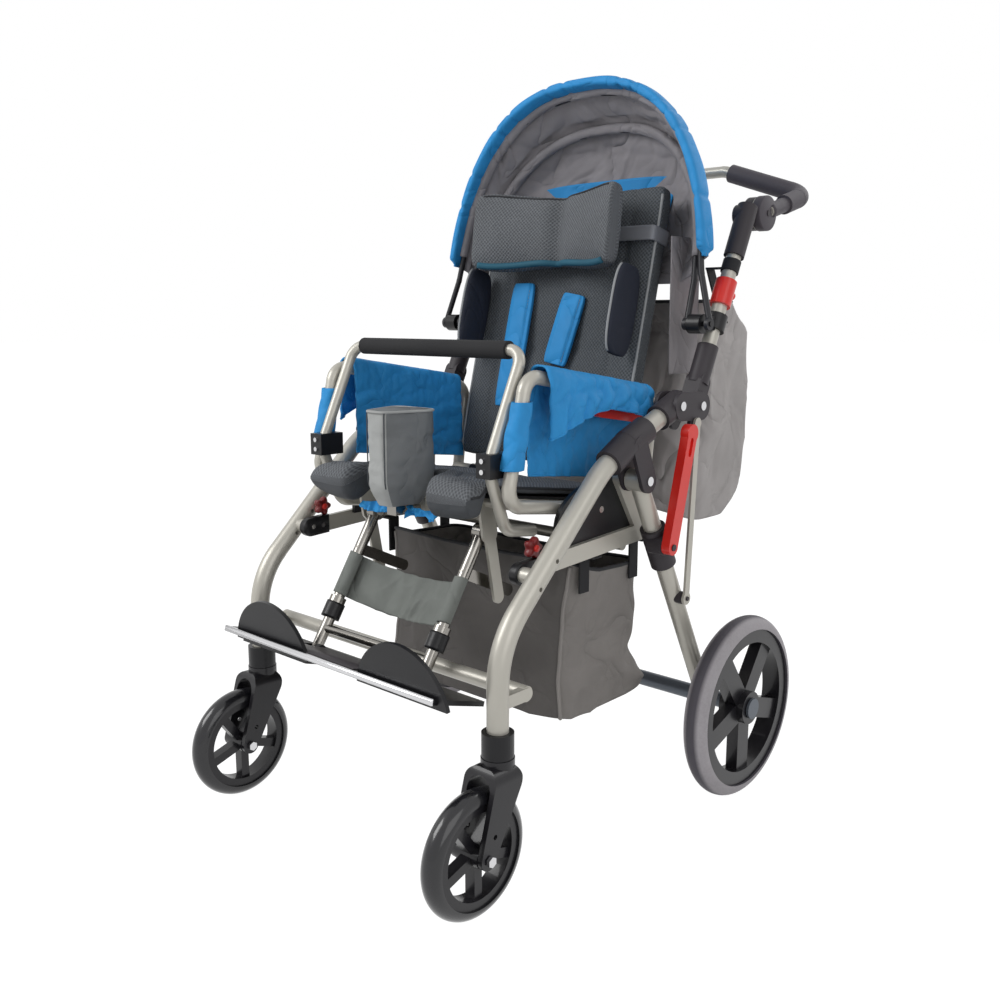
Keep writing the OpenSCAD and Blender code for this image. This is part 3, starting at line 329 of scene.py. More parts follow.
NAVY = FINE_CLOTH("navy_cloth", (34, 38, 50), 0.75, relief=0.3, crease=0.008)
SEAT_SIDE = FINE_CLOTH("seat_side_cloth", (70, 73, 77), 0.6, vary=0.1, crease=0.006)
GREY = COARSE_CLOTH("grey_cloth", (148, 144, 147), 0.82, relief=0.35, vary=0.14, crease=0.02)
SLING = COARSE_CLOTH("sling_cloth", (128, 132, 128), 0.8, relief=0.3, vary=0.16, crease=0.016)
BASKET = COARSE_CLOTH("basket_cloth", (138, 134, 131), 0.85, relief=0.35, vary=0.14, crease=0.02)
BAG = COARSE_CLOTH("bag_cloth", (176, 172, 171), 0.82, relief=0.35, vary=0.14, crease=0.022)
# Darker copy of the basket cloth for the basket's front panel: painted shade.
SHADED_PANEL = COARSE_CLOTH("shaded_panel_cloth", (100, 97, 95), 0.85, vary=0.14, crease=0.016)
MESH = SPACER_MESH("mesh_cloth", (102, 105, 109), 0.85)
DARK_MESH = SPACER_MESH("dark_mesh_cloth", (84, 88, 92), 0.85)
SATIN = WOVEN_TAPE("satin_tape", (124, 126, 132), 0.4)
TAPE = WOVEN_TAPE("black_tape", (30, 30, 33), 0.7)
SEAM = Finish("basket_seam", (146, 142, 139), 0.85, vary=0.08)
PIPING = Finish("pale_piping", (152, 154, 156), 0.6, vary=0.06)
DARK_PIPING = Finish("dark_piping", (46, 47, 50), 0.7, vary=0.06)
TEAL = Finish("teal_trim", (42, 92, 112), 0.7, vary=0.1)

NODE_FINISH: dict[str, Finish] = {
    **dict.fromkeys(
        ("front_legs", "upper_tubes", "cross_tubes", "side_rails", "rear_legs", "fold_struts", "push_tubes",
         "handlebar", "seat_frame", "leg_hangers", "grab_bar"), FRAME_SILVER),
    **dict.fromkeys(
        ("frame_connectors", "hinge_housings", "push_sleeves", "handle_sockets", "leg_blocks"), GREY_PLASTIC),
    **dict.fromkeys(
        ("stem_sockets", "tilt_plates", "hood_brackets", "grab_clamps", "seat_pan", "foot_board",
         "foot_guards"), BLACK_PLASTIC),
    **dict.fromkeys(("lock_lever_left", "lock_lever_right", "catch_collars", "arm_catches"), RED_PLASTIC),
    "frame_pins": CHROME,
    **dict.fromkeys(("leg_tubes", "pommel_stem"), LEG_STEEL),
    "rear_axle": AXLE_STEEL,
    **dict.fromkeys(("back_frame", "front_bow", "mid_bow"), BLACK_STEEL),
    **dict.fromkeys(
        ("caster_fork_left", "caster_fork_right", "caster_rim_left", "caster_rim_right", "rear_rim_left",
         "rear_rim_right"), RIM_BLACK),
    **dict.fromkeys(("caster_tyre_left", "caster_tyre_right"), CASTER_RUBBER),
    **dict.fromkeys(("rear_tyre_left", "rear_tyre_right"), REAR_RUBBER),
    "handle_grips": GRIP,
    "grab_foam": FOAM,
    "basket_straps": TAPE,
    "bag_straps": TAPE,
}


# Shapes


def signed_power(value: Points, exponent: float) -> Points:
    """Power that keeps the sign, for rounded outlines.

    Args:
        value: numbers of either sign.
        exponent: the power of their size.

    Returns:
        The numbers with their signs kept.
    """
    return np.sign(value) * np.abs(value) ** exponent


def outline(half_a: float, half_b: float, exponent: float, count: int) -> Points:
    """Rounded closed outline.

    Args:
        half_a: half size along the first axis.
        half_b: half size along the second axis.
        exponent: 1 for an ellipse, less for a boxier shape.
        count: how many points.

    Returns:
        Points in the plane, going round once.
    """
    turn = 2 * np.pi * (np.arange(count) + 0.5) / count
    across = half_a * signed_power(np.cos(turn), exponent)
    return np.stack([across, half_b * signed_power(np.sin(turn), exponent)], 1)


def slab_ring(turn: Points, power: float) -> tuple[Points, Points]:
    """Rounded box outline whose points spread along its long sides.

    Args:
        turn: angles round it.
        power: more for squarer edges.

    Returns:
        Places across and up, each from -1 to 1.
    """
    across = np.cos(turn)
    up = np.maximum(0, 1 - np.abs(across) ** power) ** (1 / power)
    return across, np.sign(np.sin(turn)) * up


def fullness(share: Points, exponent: float) -> Points:
    """How full a cushion is along its length.

    Args:
        share: place along the length from 0 to 1.
        exponent: more for a longer full middle.

    Returns:
        Fullness from 0 at the ends to 1 in the middle.
    """
    return np.maximum(0, 1 - np.abs(2 * share - 1) ** exponent) ** (1 / exponent)


def bump(value: Points, centre: float, width: float) -> Points:
    """Smooth bump of height 1.

    Args:
        value: where it is read.
        centre: its middle.
        width: its half width.

    Returns:
        The bump's height at each value.
    """
    return np.exp(-(((value - centre) / width) ** 2))


def eased(count: int, pull: float = 0.8) -> Points:
    """Shares from 0 to 1 that crowd towards both ends.

    Args:
        count: how many.
        pull: 0 for even spacing, 1 for the strongest crowding.

    Returns:
        Rising shares.
    """
    even = np.linspace(0, 1, count)
    return (1 - pull) * even + pull * (0.5 - 0.5 * np.cos(np.pi * even))


def ripple(points: Points, wave: float, seed: int, stretch: Sequence[float] = (1, 1, 1)) -> Points:
    """Slow folds as a sum of slanted waves.

    Args:
        points: places in millimetres.
        wave: length of the longest wave in millimetres.
        seed: picks the waves.
        stretch: how fast the folds change along each axis.

    Returns:
        One height from about -1 to 1 for each place.
    """
    rng = np.random.default_rng(SEED + seed)
    total = np.zeros(points.shape[:-1])
    strength = 0.0
    for octave in range(5):
        way = rng.normal(size=3) * np.array(stretch)
        way /= np.linalg.norm(way)
        length = wave / (1 + 0.55 * octave)
        gain = 1 / (1 + 0.6 * octave)
        total += gain * np.sin(points @ way * 2 * np.pi / length + rng.uniform(0, 2 * np.pi))
        strength += gain
    return total / strength


def crumple(points: Points, wave: float, seed: int, stretch: Sequence[float] = (1, 1, 1)) -> Points:
    """Puffed folds with sharp valleys between them.

    Args:
        points: places in millimetres.
        wave: length of the longest fold in millimetres.
        seed: picks the folds.
        stretch: how fast the folds change along each axis.

    Returns:
        One height from 0 in the valleys to about 1 for each place.
    """
    return np.abs(ripple(points, wave, seed, stretch)) ** 0.7


class Skin:
    """A mesh made from rows of points, with a finish for each face."""

    def __init__(self, name: str) -> None:
        self.name = name
        self.places: list[Points] = []
        self.faces: list[tuple[int, ...]] = []
        self.finish_of: list[int] = []
        self.uv: list[Points] = []
        self.count = 0

    def add_grid(
        self, grid: Points, wrap: bool = False, flip: bool = False, finish: Union[int, np.ndarray] = 0
    ) -> np.ndarray:
        """Adds a grid of quads.

        Args:
            grid: rows of points in millimetres.
            wrap: whether each row closes on itself.
            flip: whether the faces look the other way.
            finish: which of the piece's finishes they take, as one number or one for each column.

        Returns:
            The number of each point.
        """
        rows, cols = grid.shape[:2]
        numbers = np.arange(self.count, self.count + rows * cols).reshape(rows, cols)
        self.places.append(grid.reshape(-1, 3))
        along = np.linalg.norm(np.diff(grid, axis=1), axis=2).mean(0).cumsum()
        down = np.linalg.norm(np.diff(grid, axis=0), axis=2).mean(1).cumsum()
        u = np.concatenate([[0], along]) / 1000
        v = np.concatenate([[0], down]) / 1000
        self.uv.append(np.stack(np.meshgrid(u, v), 2).reshape(-1, 2))
        self.count += rows * cols
        worn = np.broadcast_to(np.asarray(finish, int), (cols,))
        for r in range(rows - 1):
            for c in range(cols if wrap else cols - 1):
                k = (c + 1) % cols
                quad = (numbers[r, c], numbers[r, k], numbers[r + 1, k], numbers[r + 1, c])
                self.add_face(quad[::-1] if flip else quad, worn[c])
        return numbers

    def add_face(self, corners: Sequence[int], finish: int = 0) -> None:
        """Adds one face.

        Args:
            corners: point numbers in order.
            finish: which of the piece's finishes it takes.
        """
        self.faces.append(tuple(int(c) for c in corners))
        self.finish_of.append(int(finish))

    def close_row(self, row: np.ndarray, flip: bool, finish: int = 0) -> None:
        """Closes a ring of points with a fan.

        Args:
            row: point numbers round the ring.
            flip: whether the fan looks the other way.
            finish: which of the piece's finishes it takes.
        """
        ring = np.concatenate(self.places)[row]
        uv = np.concatenate(self.uv)[row]
        middle = self.count
        self.places.append(ring.mean(0)[None])
        self.uv.append(uv.mean(0)[None])
        self.count += 1
        for i, corner in enumerate(row):
            after = row[(i + 1) % len(row)]
            self.add_face((middle, after, corner) if flip else (middle, corner, after), finish)

    def close_strip(self, row: np.ndarray, finish: int = 0) -> None:
        """Closes a flat ring by joining its upper half to its lower half.

        Args:
            row: point numbers round the ring, the upper half first.
            finish: which of the piece's finishes it takes.
        """
        last = len(row) - 1
        for k in range(len(row) // 2 - 1):
            self.add_face((row[k], row[k + 1], row[last - k - 1], row[last - k]), finish)

    def build(self, *finishes: Finish) -> bpy.types.Object:
        """Makes the object.

        Args:
            finishes: the finishes that the faces point to.

        Returns:
            The object, at the origin.
        """
        data = bpy.data.meshes.new(self.name)
        data.from_pydata(metres(np.concatenate(self.places)).tolist(), [], self.faces)
        uv = np.concatenate(self.uv)
        layer = data.uv_layers.new(name="flat")
        corners = np.zeros(len(data.loops), np.int32)
        data.loops.foreach_get("vertex_index", corners)
        layer.data.foreach_set("uv", uv[corners].astype(np.float32).ravel())
        data.polygons.foreach_set("material_index", np.array(self.finish_of, np.int32))
        data.polygons.foreach_set("use_smooth", np.ones(len(self.faces), bool))
        for finish in finishes:
            data.materials.append(finish.material())
        tidy = bmesh.new()
        tidy.from_mesh(data)
        bmesh.ops.recalc_face_normals(tidy, faces=tidy.faces)
        tidy.to_mesh(data)
        tidy.free()
        made = bpy.data.objects.new(self.name, data)
        bpy.context.scene.collection.objects.link(made)
        return made


def lofted(
    name: str, rings: Points, *finishes: Finish, caps: bool = True, flat_ends: bool = False,
    worn: Union[int, np.ndarray] = 0,
) -> bpy.types.Object:
    """Solid through closed rings.

    Args:
        name: the piece's name.
        rings: rows of points, each row a closed ring.
        finishes: its finishes.
        caps: whether both ends are closed.
        flat_ends: whether the ends are closed across their two long sides.
        worn: which finish it takes, as one number or one for each column.

    Returns:
        The object.
    """
    skin = Skin(name)
    numbers = skin.add_grid(rings, wrap=True, finish=worn)
    if flat_ends:
        skin.close_strip(numbers[0])
        skin.close_strip(numbers[-1])
    elif caps:
        skin.close_row(numbers[0], True)
        skin.close_row(numbers[-1], False)
    return skin.build(*finishes)


def grid_normals(grid: Points, wrap: bool) -> Points:
    """Direction square to a grid at each point.

    Args:
        grid: rows of points.
        wrap: whether each row closes on itself.

    Returns:
        Unit directions.
    """
    if wrap:
        wide = np.concatenate([grid[:, -1:], grid, grid[:, :1]], 1)
        along = np.gradient(wide, axis=1)[:, 1:-1]
    else:
        along = np.gradient(grid, axis=1)
    square = np.cross(along, np.gradient(grid, axis=0))
    size = np.linalg.norm(square, axis=2, keepdims=True)
    return square / np.maximum(size, 1e-9)


def cloth(
    name: str, grid: Points, thick: float, front: Finish, back: Finish | None = None, wrap: bool = False,
    second: np.ndarray | None = None,
) -> bpy.types.Object:
    """Thin sheet of even thickness with closed edges.

    Args:
        name: the piece's name.
        grid: rows of points on the sheet's middle.
        thick: its thickness in millimetres.
        front: finish of the side that the grid's normals point to.
        back: finish of the other side or of the second columns, if it differs.
        wrap: whether each row closes on itself.
        second: which columns take the second finish on both sides, if any.

    Returns:
        The object.
    """
    skin = Skin(name)
    step = grid_normals(grid, wrap) * thick / 2
    outer = 0 if second is None else second.astype(int)
    inner = (1 if back else 0) if second is None else outer
    a = skin.add_grid(grid + step, wrap, False, outer)
    b = skin.add_grid(grid - step, wrap, True, inner)
    rows, cols = a.shape
    spans = cols if wrap else cols - 1
    for c in range(spans):
        k = (c + 1) % cols
        skin.add_face((a[0, k], a[0, c], b[0, c], b[0, k]))
        skin.add_face((a[-1, c], a[-1, k], b[-1, k], b[-1, c]))
    if not wrap:
        for r in range(rows - 1):
            skin.add_face((a[r, 0], a[r + 1, 0], b[r + 1, 0], b[r, 0]))
            skin.add_face((a[r + 1, -1], a[r, -1], b[r, -1], b[r + 1, -1]))
    return skin.build(*([front, back] if back else [front]))


def tube(
    name: str, path: Points, radius: Union[float, Points], finish: Finish, sides: int = 12,
    closed: bool = False,
) -> bpy.types.Object:
    """Round bar along a path.

    Args:
        name: the piece's name.
        path: points in millimetres.
        radius: one radius, or one for each point.
        finish: its finish.
        sides: how many sides.
        closed: whether the path returns to its start.

    Returns:
        The object.
    """
    path = np.array(path, float)
    if closed:
        ahead = np.roll(path, -1, 0) - np.roll(path, 1, 0)
    else:
        ahead = np.gradient(path, axis=0)
    ahead /= np.linalg.norm(ahead, axis=1, keepdims=True)
    start = np.cross(ahead[0], [0.31, 0.82, 0.48])
    first = [start / np.linalg.norm(start)]
    for way in ahead[1:]:
        side = first[-1] - way * (first[-1] @ way)
        first.append(side / np.linalg.norm(side))
    first = np.array(first)
    second = np.cross(ahead, first)
    turn = 2 * np.pi * np.arange(sides) / sides
    sizes = np.broadcast_to(np.asarray(radius, float), (len(path),))[:, None, None]
    spokes = np.cos(turn)[None, :, None] * first[:, None] + np.sin(turn)[None, :, None] * second[:, None]
    rings = path[:, None] + sizes * spokes
    if closed:
        rings = np.concatenate([rings, rings[:1]])
    return lofted(name, rings, finish, caps=not closed)


def resampled(path: Sequence, count: int, rounds: int = 2) -> Points:
    """Rounds the corners of a path and spaces its points evenly.

    Args:
        path: corner points.
        count: how many points are wanted.
        rounds: how often the corners are cut.

    Returns:
        The even points.
    """
    points = np.array(path, float)
    for _ in range(rounds):
        a = points[:-1] * 0.75 + points[1:] * 0.25
        b = points[:-1] * 0.25 + points[1:] * 0.75
        points = np.concatenate([points[:1], np.stack([a, b], 1).reshape(-1, points.shape[1]), points[-1:]])
    length = np.concatenate([[0], np.linalg.norm(np.diff(points, axis=0), axis=1).cumsum()])
    wanted = np.linspace(0, length[-1], count)
    return np.stack([np.interp(wanted, length, points[:, k]) for k in range(points.shape[1])], 1)


def slab(
    name: str, side_view: Sequence, x0: float, x1: float, finish: Finish, soft: float = 2.0
) -> bpy.types.Object:
    """Flat piece with rounded edges, drawn from the side.

    Args:
        name: the piece's name.
        side_view: outline as y and z points.
        x0: where it starts across.
        x1: where it ends across.
        finish: its finish.
        soft: how much its edges are rounded.

    Returns:
        The object.
    """
    shape = np.array(side_view, float)
    middle = shape.mean(0)
    reach = np.abs(shape - middle).max()
    rows = []
    for x, inset in ((x0, soft), (x0 + soft * 0.4, soft * 0.3), (x0 + soft, 0), (x1 - soft, 0),
                     (x1 - soft * 0.4, soft * 0.3), (x1, soft)):
        drawn = middle + (shape - middle) * (1 - inset / reach)
        rows.append(np.column_stack([np.full(len(shape), x), drawn]))
    return lofted(name, np.array(rows), finish)


def disc(
    name: str, x0: float, x1: float, centre: Sequence[float], radius: float, finish: Finish
) -> bpy.types.Object:
    """Round piece along X with soft edges.

    Args:
        name: the piece's name.
        x0: where it starts across.
        x1: where it ends across.
        centre: its axis as y and z.
        radius: its radius.
        finish: its finish.

    Returns:
        The object.
    """
    turn = 2 * np.pi * np.arange(40) / 40
    shape = np.stack([centre[0] + radius * np.cos(turn), centre[1] + radius * np.sin(turn)], 1)
    low, high = min(x0, x1), max(x0, x1)
    return slab(name, shape, low, high, finish, soft=min(1.5, (high - low) / 3))


class Head(Enum):
    """Number of sides of a repeated small piece."""

    HEX = 6
    ROUND = 24


def repeated(
    name: str, places: Points, facing: Points, head: Head, radius: float, depth: float, finish: Finish
) -> bpy.types.Object:
    """Copies of a small round or six sided piece, set out by geometry nodes.

    Args:
        name: the piece's name.
        places: where each copy stands, in millimetres.
        facing: which way each one points.
        head: its number of sides.
        radius: its radius in millimetres.
        depth: its length in millimetres.
        finish: its finish.

    Returns:
        The object, with all copies made real.
    """
    data = bpy.data.meshes.new(name)
    data.from_pydata(metres(places).tolist(), [], [])
    ways = data.attributes.new("facing", "FLOAT_VECTOR", "POINT")
    ways.data.foreach_set("vector", np.asarray(facing, np.float32).ravel())
    made = bpy.data.objects.new(name, data)
    bpy.context.scene.collection.objects.link(made)
    tree = bpy.data.node_groups.new(f"{name}_copies", "GeometryNodeTree")
    tree.interface.new_socket("Geometry", in_out="INPUT", socket_type="NodeSocketGeometry")
    for label in ("Radius", "Depth"):
        tree.interface.new_socket(label, in_out="INPUT", socket_type="NodeSocketFloat")
    tree.interface.new_socket("Geometry", in_out="OUTPUT", socket_type="NodeSocketGeometry")
    graph = Graph(tree)
    given = graph.node("NodeGroupInput")
    inputs = {s.name: Wire(graph, s) for s in given.socket.node.outputs if s.name}
    shape = graph.node(
        "GeometryNodeMeshCylinder",
        {"Vertices": head.value, "Radius": inputs["Radius"], "Depth": inputs["Depth"]},
        output="Mesh",
    )
    named = {"Name": ways.name}
    way = graph.node("GeometryNodeInputNamedAttribute", named, output="Attribute", data_type="FLOAT_VECTOR")
    turned = graph.node("FunctionNodeAlignRotationToVector", {"Vector": way}, axis="Z")
    copies = graph.node(
        "GeometryNodeInstanceOnPoints", {"Points": inputs["Geometry"], "Instance": shape, "Rotation": turned}
    )
    real = graph.node("GeometryNodeRealizeInstances", {"Geometry": copies})
    worn = graph.node("GeometryNodeSetMaterial", {"Geometry": real, "Material": finish.material()})
    graph.node("NodeGroupOutput", {"Geometry": worn})
    modifier = made.modifiers.new("copies", "NODES")
    modifier.node_group = tree
    for item in tree.interface.items_tree:
        if item.in_out == "INPUT" and item.name in ("Radius", "Depth"):
            modifier[item.identifier] = (radius if item.name == "Radius" else depth) / 1000
    graph_of_scene = bpy.context.evaluated_depsgraph_get()
    final = bpy.data.meshes.new_from_object(made.evaluated_get(graph_of_scene))
    made.modifiers.clear()
    made.data = final
    return made


def lengths(rows: Points) -> Points:
    """Lengths of paths.

    Args:
        rows: one path in each row, in millimetres.

    Returns:
        Their lengths in metres.
    """
    return np.linalg.norm(np.diff(rows, axis=1), axis=2).sum(1) / 1000


def declare_sheet(grid: Points) -> None:
    """Works out the lengths down a sheet from the grid that it was made from, and keeps nothing.

    Args:
        grid: its rows of points in millimetres.
    """
    tall = lengths(grid.transpose(1, 0, 2))


def rides(body: str, *pieces: bpy.types.Object) -> None:
    """Lets pieces move with a CAD body.

    Args:
        body: the body's name.
        pieces: what rides on it.
    """
    for piece in pieces:
        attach(piece, body)


def places_of(data: bpy.types.Mesh) -> Points:
    """Reads a mesh's points.

    Args:
        data: the mesh.

    Returns:
        Its points in metres.
    """
    flat = np.zeros(len(data.vertices) * 3)
    data.vertices.foreach_get("co", flat)
    return flat.reshape(-1, 3)


@dataclass(frozen=True)
class Filling:
    """Cloth simulation that swells a padded piece, with lengths in millimetres."""

    cell: float = 6.0
    pressure: float = 4.0
    frames: int = 20
    cap: float = 6.0

    def swell(self, piece: bpy.types.Object, free: Callable[[Points], Points]) -> None:
        """Fills a cushion.

        A remeshed copy is simulated and how far it moves is carried over to the piece's own points, so
        that its seams and its weave stay.

        Args:
            piece: the cushion.
            free: gives, for places in millimetres from the rear axle, 0 where the cloth is sewn down or rests
                on something and 1 where it is free.
        """
        scene = bpy.context.scene
        coarse = bpy.data.objects.new(f"{piece.name}_filling", piece.data.copy())
        scene.collection.objects.link(coarse)
        cells = coarse.modifiers.new("cells", "REMESH")
        cells.mode = "VOXEL"
        cells.voxel_size = self.cell / 1000
        meshed = coarse.evaluated_get(bpy.context.evaluated_depsgraph_get())
        coarse.data = bpy.data.meshes.new_from_object(meshed)
        coarse.modifiers.clear()
        start = places_of(coarse.data)
        held = coarse.vertex_groups.new(name="held")
        for number, share in enumerate(free(start * 1000 - [0, AXLE_TO_MIDDLE, 0])):
            held.add([number], float(1 - share), "REPLACE")
        filled = coarse.modifiers.new("filled", "CLOTH")
        filled.settings.use_pressure = True
        filled.settings.uniform_pressure_force = self.pressure
        filled.settings.vertex_group_mass = held.name
        filled.settings.effector_weights.gravity = 0
        filled.collision_settings.use_collision = False
        for number in range(1, self.frames + 1):
            scene.frame_set(number)
        moved = places_of(coarse.evaluated_get(bpy.context.evaluated_depsgraph_get()).data) - start
        scene.frame_set(1)
        bpy.data.objects.remove(coarse)
        self.carry_over(piece, start, moved)

    def carry_over(self, piece: bpy.types.Object, start: Points, moved: Points) -> None:
        """Moves a piece's points as the simulated points near them moved.

        Args:
            piece: the cushion.
            start: the simulated points before the simulation.
            moved: how far each of them moved.
        """
        size = np.linalg.norm(moved, axis=1, keepdims=True)
        moved = moved * np.minimum(1, self.cap / 1000 / np.maximum(size, 1e-9))
        log.info("%s swells by up to %.1f mm", piece.name, 1000 * np.linalg.norm(moved, axis=1).max())
        tree = KDTree(len(start))
        for number, place in enumerate(start):
            tree.insert(place, number)
        tree.balance()
        own = places_of(piece.data)
        for number, place in enumerate(own):
            near = tree.find_n(place, 6)
            weights = np.array([1 / (0.001 + gap) for _, _, gap in near])
            own[number] = place + weights @ moved[[k for _, k, _ in near]] / weights.sum()
        piece.data.vertices.foreach_set("co", own.ravel())
        piece.data.update()


# Plan of the buggy, in millimetres from the rear axle


@dataclass(frozen=True)
class Plan:
    """Places and sizes shared with the CAD part."""

    half_frame: float = 268.0
    stem_y: float = -514.0
    caster_trail: float = 47.0
    caster_radius: float = 89.0
    fork_half: float = 28.5
    wheel_half: float = 335.0
    wheel_radius: float = 150.0
    hub_half: float = 22.0
    rear_pivot: tuple[float, float] = (-208.0, 543.0)
    loop_x: float = 208.0
    loop_low_front: tuple[float, float] = (-432.0, 525.0)
    loop_low_rear: tuple[float, float] = (-112.0, 480.0)
    loop_high_rear: tuple[float, float] = (-88.0, 655.0)
    loop_high_front: tuple[float, float] = (-392.0, 702.0)
    back_foot: tuple[float, float] = (-88.0, 520.0)
    back_lean: float = 14.0
    hood_at: tuple[float, float] = (-57.0, 770.0)
    leg_at: tuple[float, float] = (-387.0, 471.0)
    foot_at: tuple[float, float] = (-517.0, 266.0)
    leg_x: float = 118.0
    fold_at: tuple[float, float] = (-69.0, 645.0)
    push_lean: float = 64.2

    def back(self, along: Points, out: Points) -> Points:
        """Place on the backrest.

        Args:
            along: height up its plane.
            out: distance in front of its tubes' axes.

        Returns:
            Its y and z.
        """
        lean = math.radians(self.back_lean)
        along, out = np.broadcast_arrays(np.asarray(along, float), np.asarray(out, float))
        y = self.back_foot[0] + along * math.sin(lean) - out * math.cos(lean)
        z = self.back_foot[1] + along * math.cos(lean) + out * math.sin(lean)
        return np.stack([y, z], -1)

    def seat(self, y: Points, lift: Points) -> Points:
        """Place on the seat.

        Args:
            y: distance from the rear axle.
            lift: height above the loop's lower tube.

        Returns:
            Its y and z.
        """
        front, rear = np.array(self.loop_low_front), np.array(self.loop_low_rear)
        slope = math.atan2(front[1] - rear[1], rear[0] - front[0])
        share = (np.asarray(y, float) - front[0]) / (rear[0] - front[0])
        on_tube = front + (rear - front) * share[..., None]
        return on_tube + np.array([math.sin(slope), math.cos(slope)]) * np.asarray(lift, float)[..., None]

    def leg(self, along: Points, behind: Points) -> Points:
        """Place on the leg rest.

        Args:
            along: distance down its tubes.
            behind: distance behind their axes.

        Returns:
            Its y and z.
        """
        run = np.array(self.foot_at) - np.array(self.leg_at)
        way = run / np.linalg.norm(run)
        fore = np.array([way[1], -way[0]])
        along, behind = np.broadcast_arrays(np.asarray(along, float), np.asarray(behind, float))
        return np.array(self.leg_at) + along[..., None] * way - behind[..., None] * fore

    def push(self, along: float) -> np.ndarray:
        """Place on the push tubes' axes.

        Args:
            along: distance from the fold.

        Returns:
            Its y and z.
        """
        lean = math.radians(self.push_lean)
        return np.array(self.fold_at) + along * np.array([math.cos(lean), math.sin(lean)])


PLAN = Plan()


def between(start: Sequence[float], end: Sequence[float], share: float) -> np.ndarray:
    """Place on the straight line between two places.

    Args:
        start: where the line starts.
        end: where it ends.
        share: how far along, from 0 to 1.

    Returns:
        The place.
    """
    return np.array(start) + (np.array(end) - np.array(start)) * share


def spread(x: Points, side_view: Points) -> Points:
    """Joins a place across with a place in the side view.

    Args:
        x: places across.
        side_view: y and z places.

    Returns:
        Points in space.
    """
    x = np.broadcast_to(np.asarray(x, float), side_view.shape[:-1])
    return np.concatenate([x[..., None], side_view], -1)


def on_side(grid: Points, name: str) -> Points:
    """A grid that is planned on the child's left, on either side of the buggy.

    Args:
        grid: rows of points.
        name: the child's left or right.

    Returns:
        The rows, or the rows seen in a mirror and reversed so that their faces keep their side.
    """
    if name == "left":
        return grid
    return (grid * np.array([-1, 1, 1]))[:, ::-1]


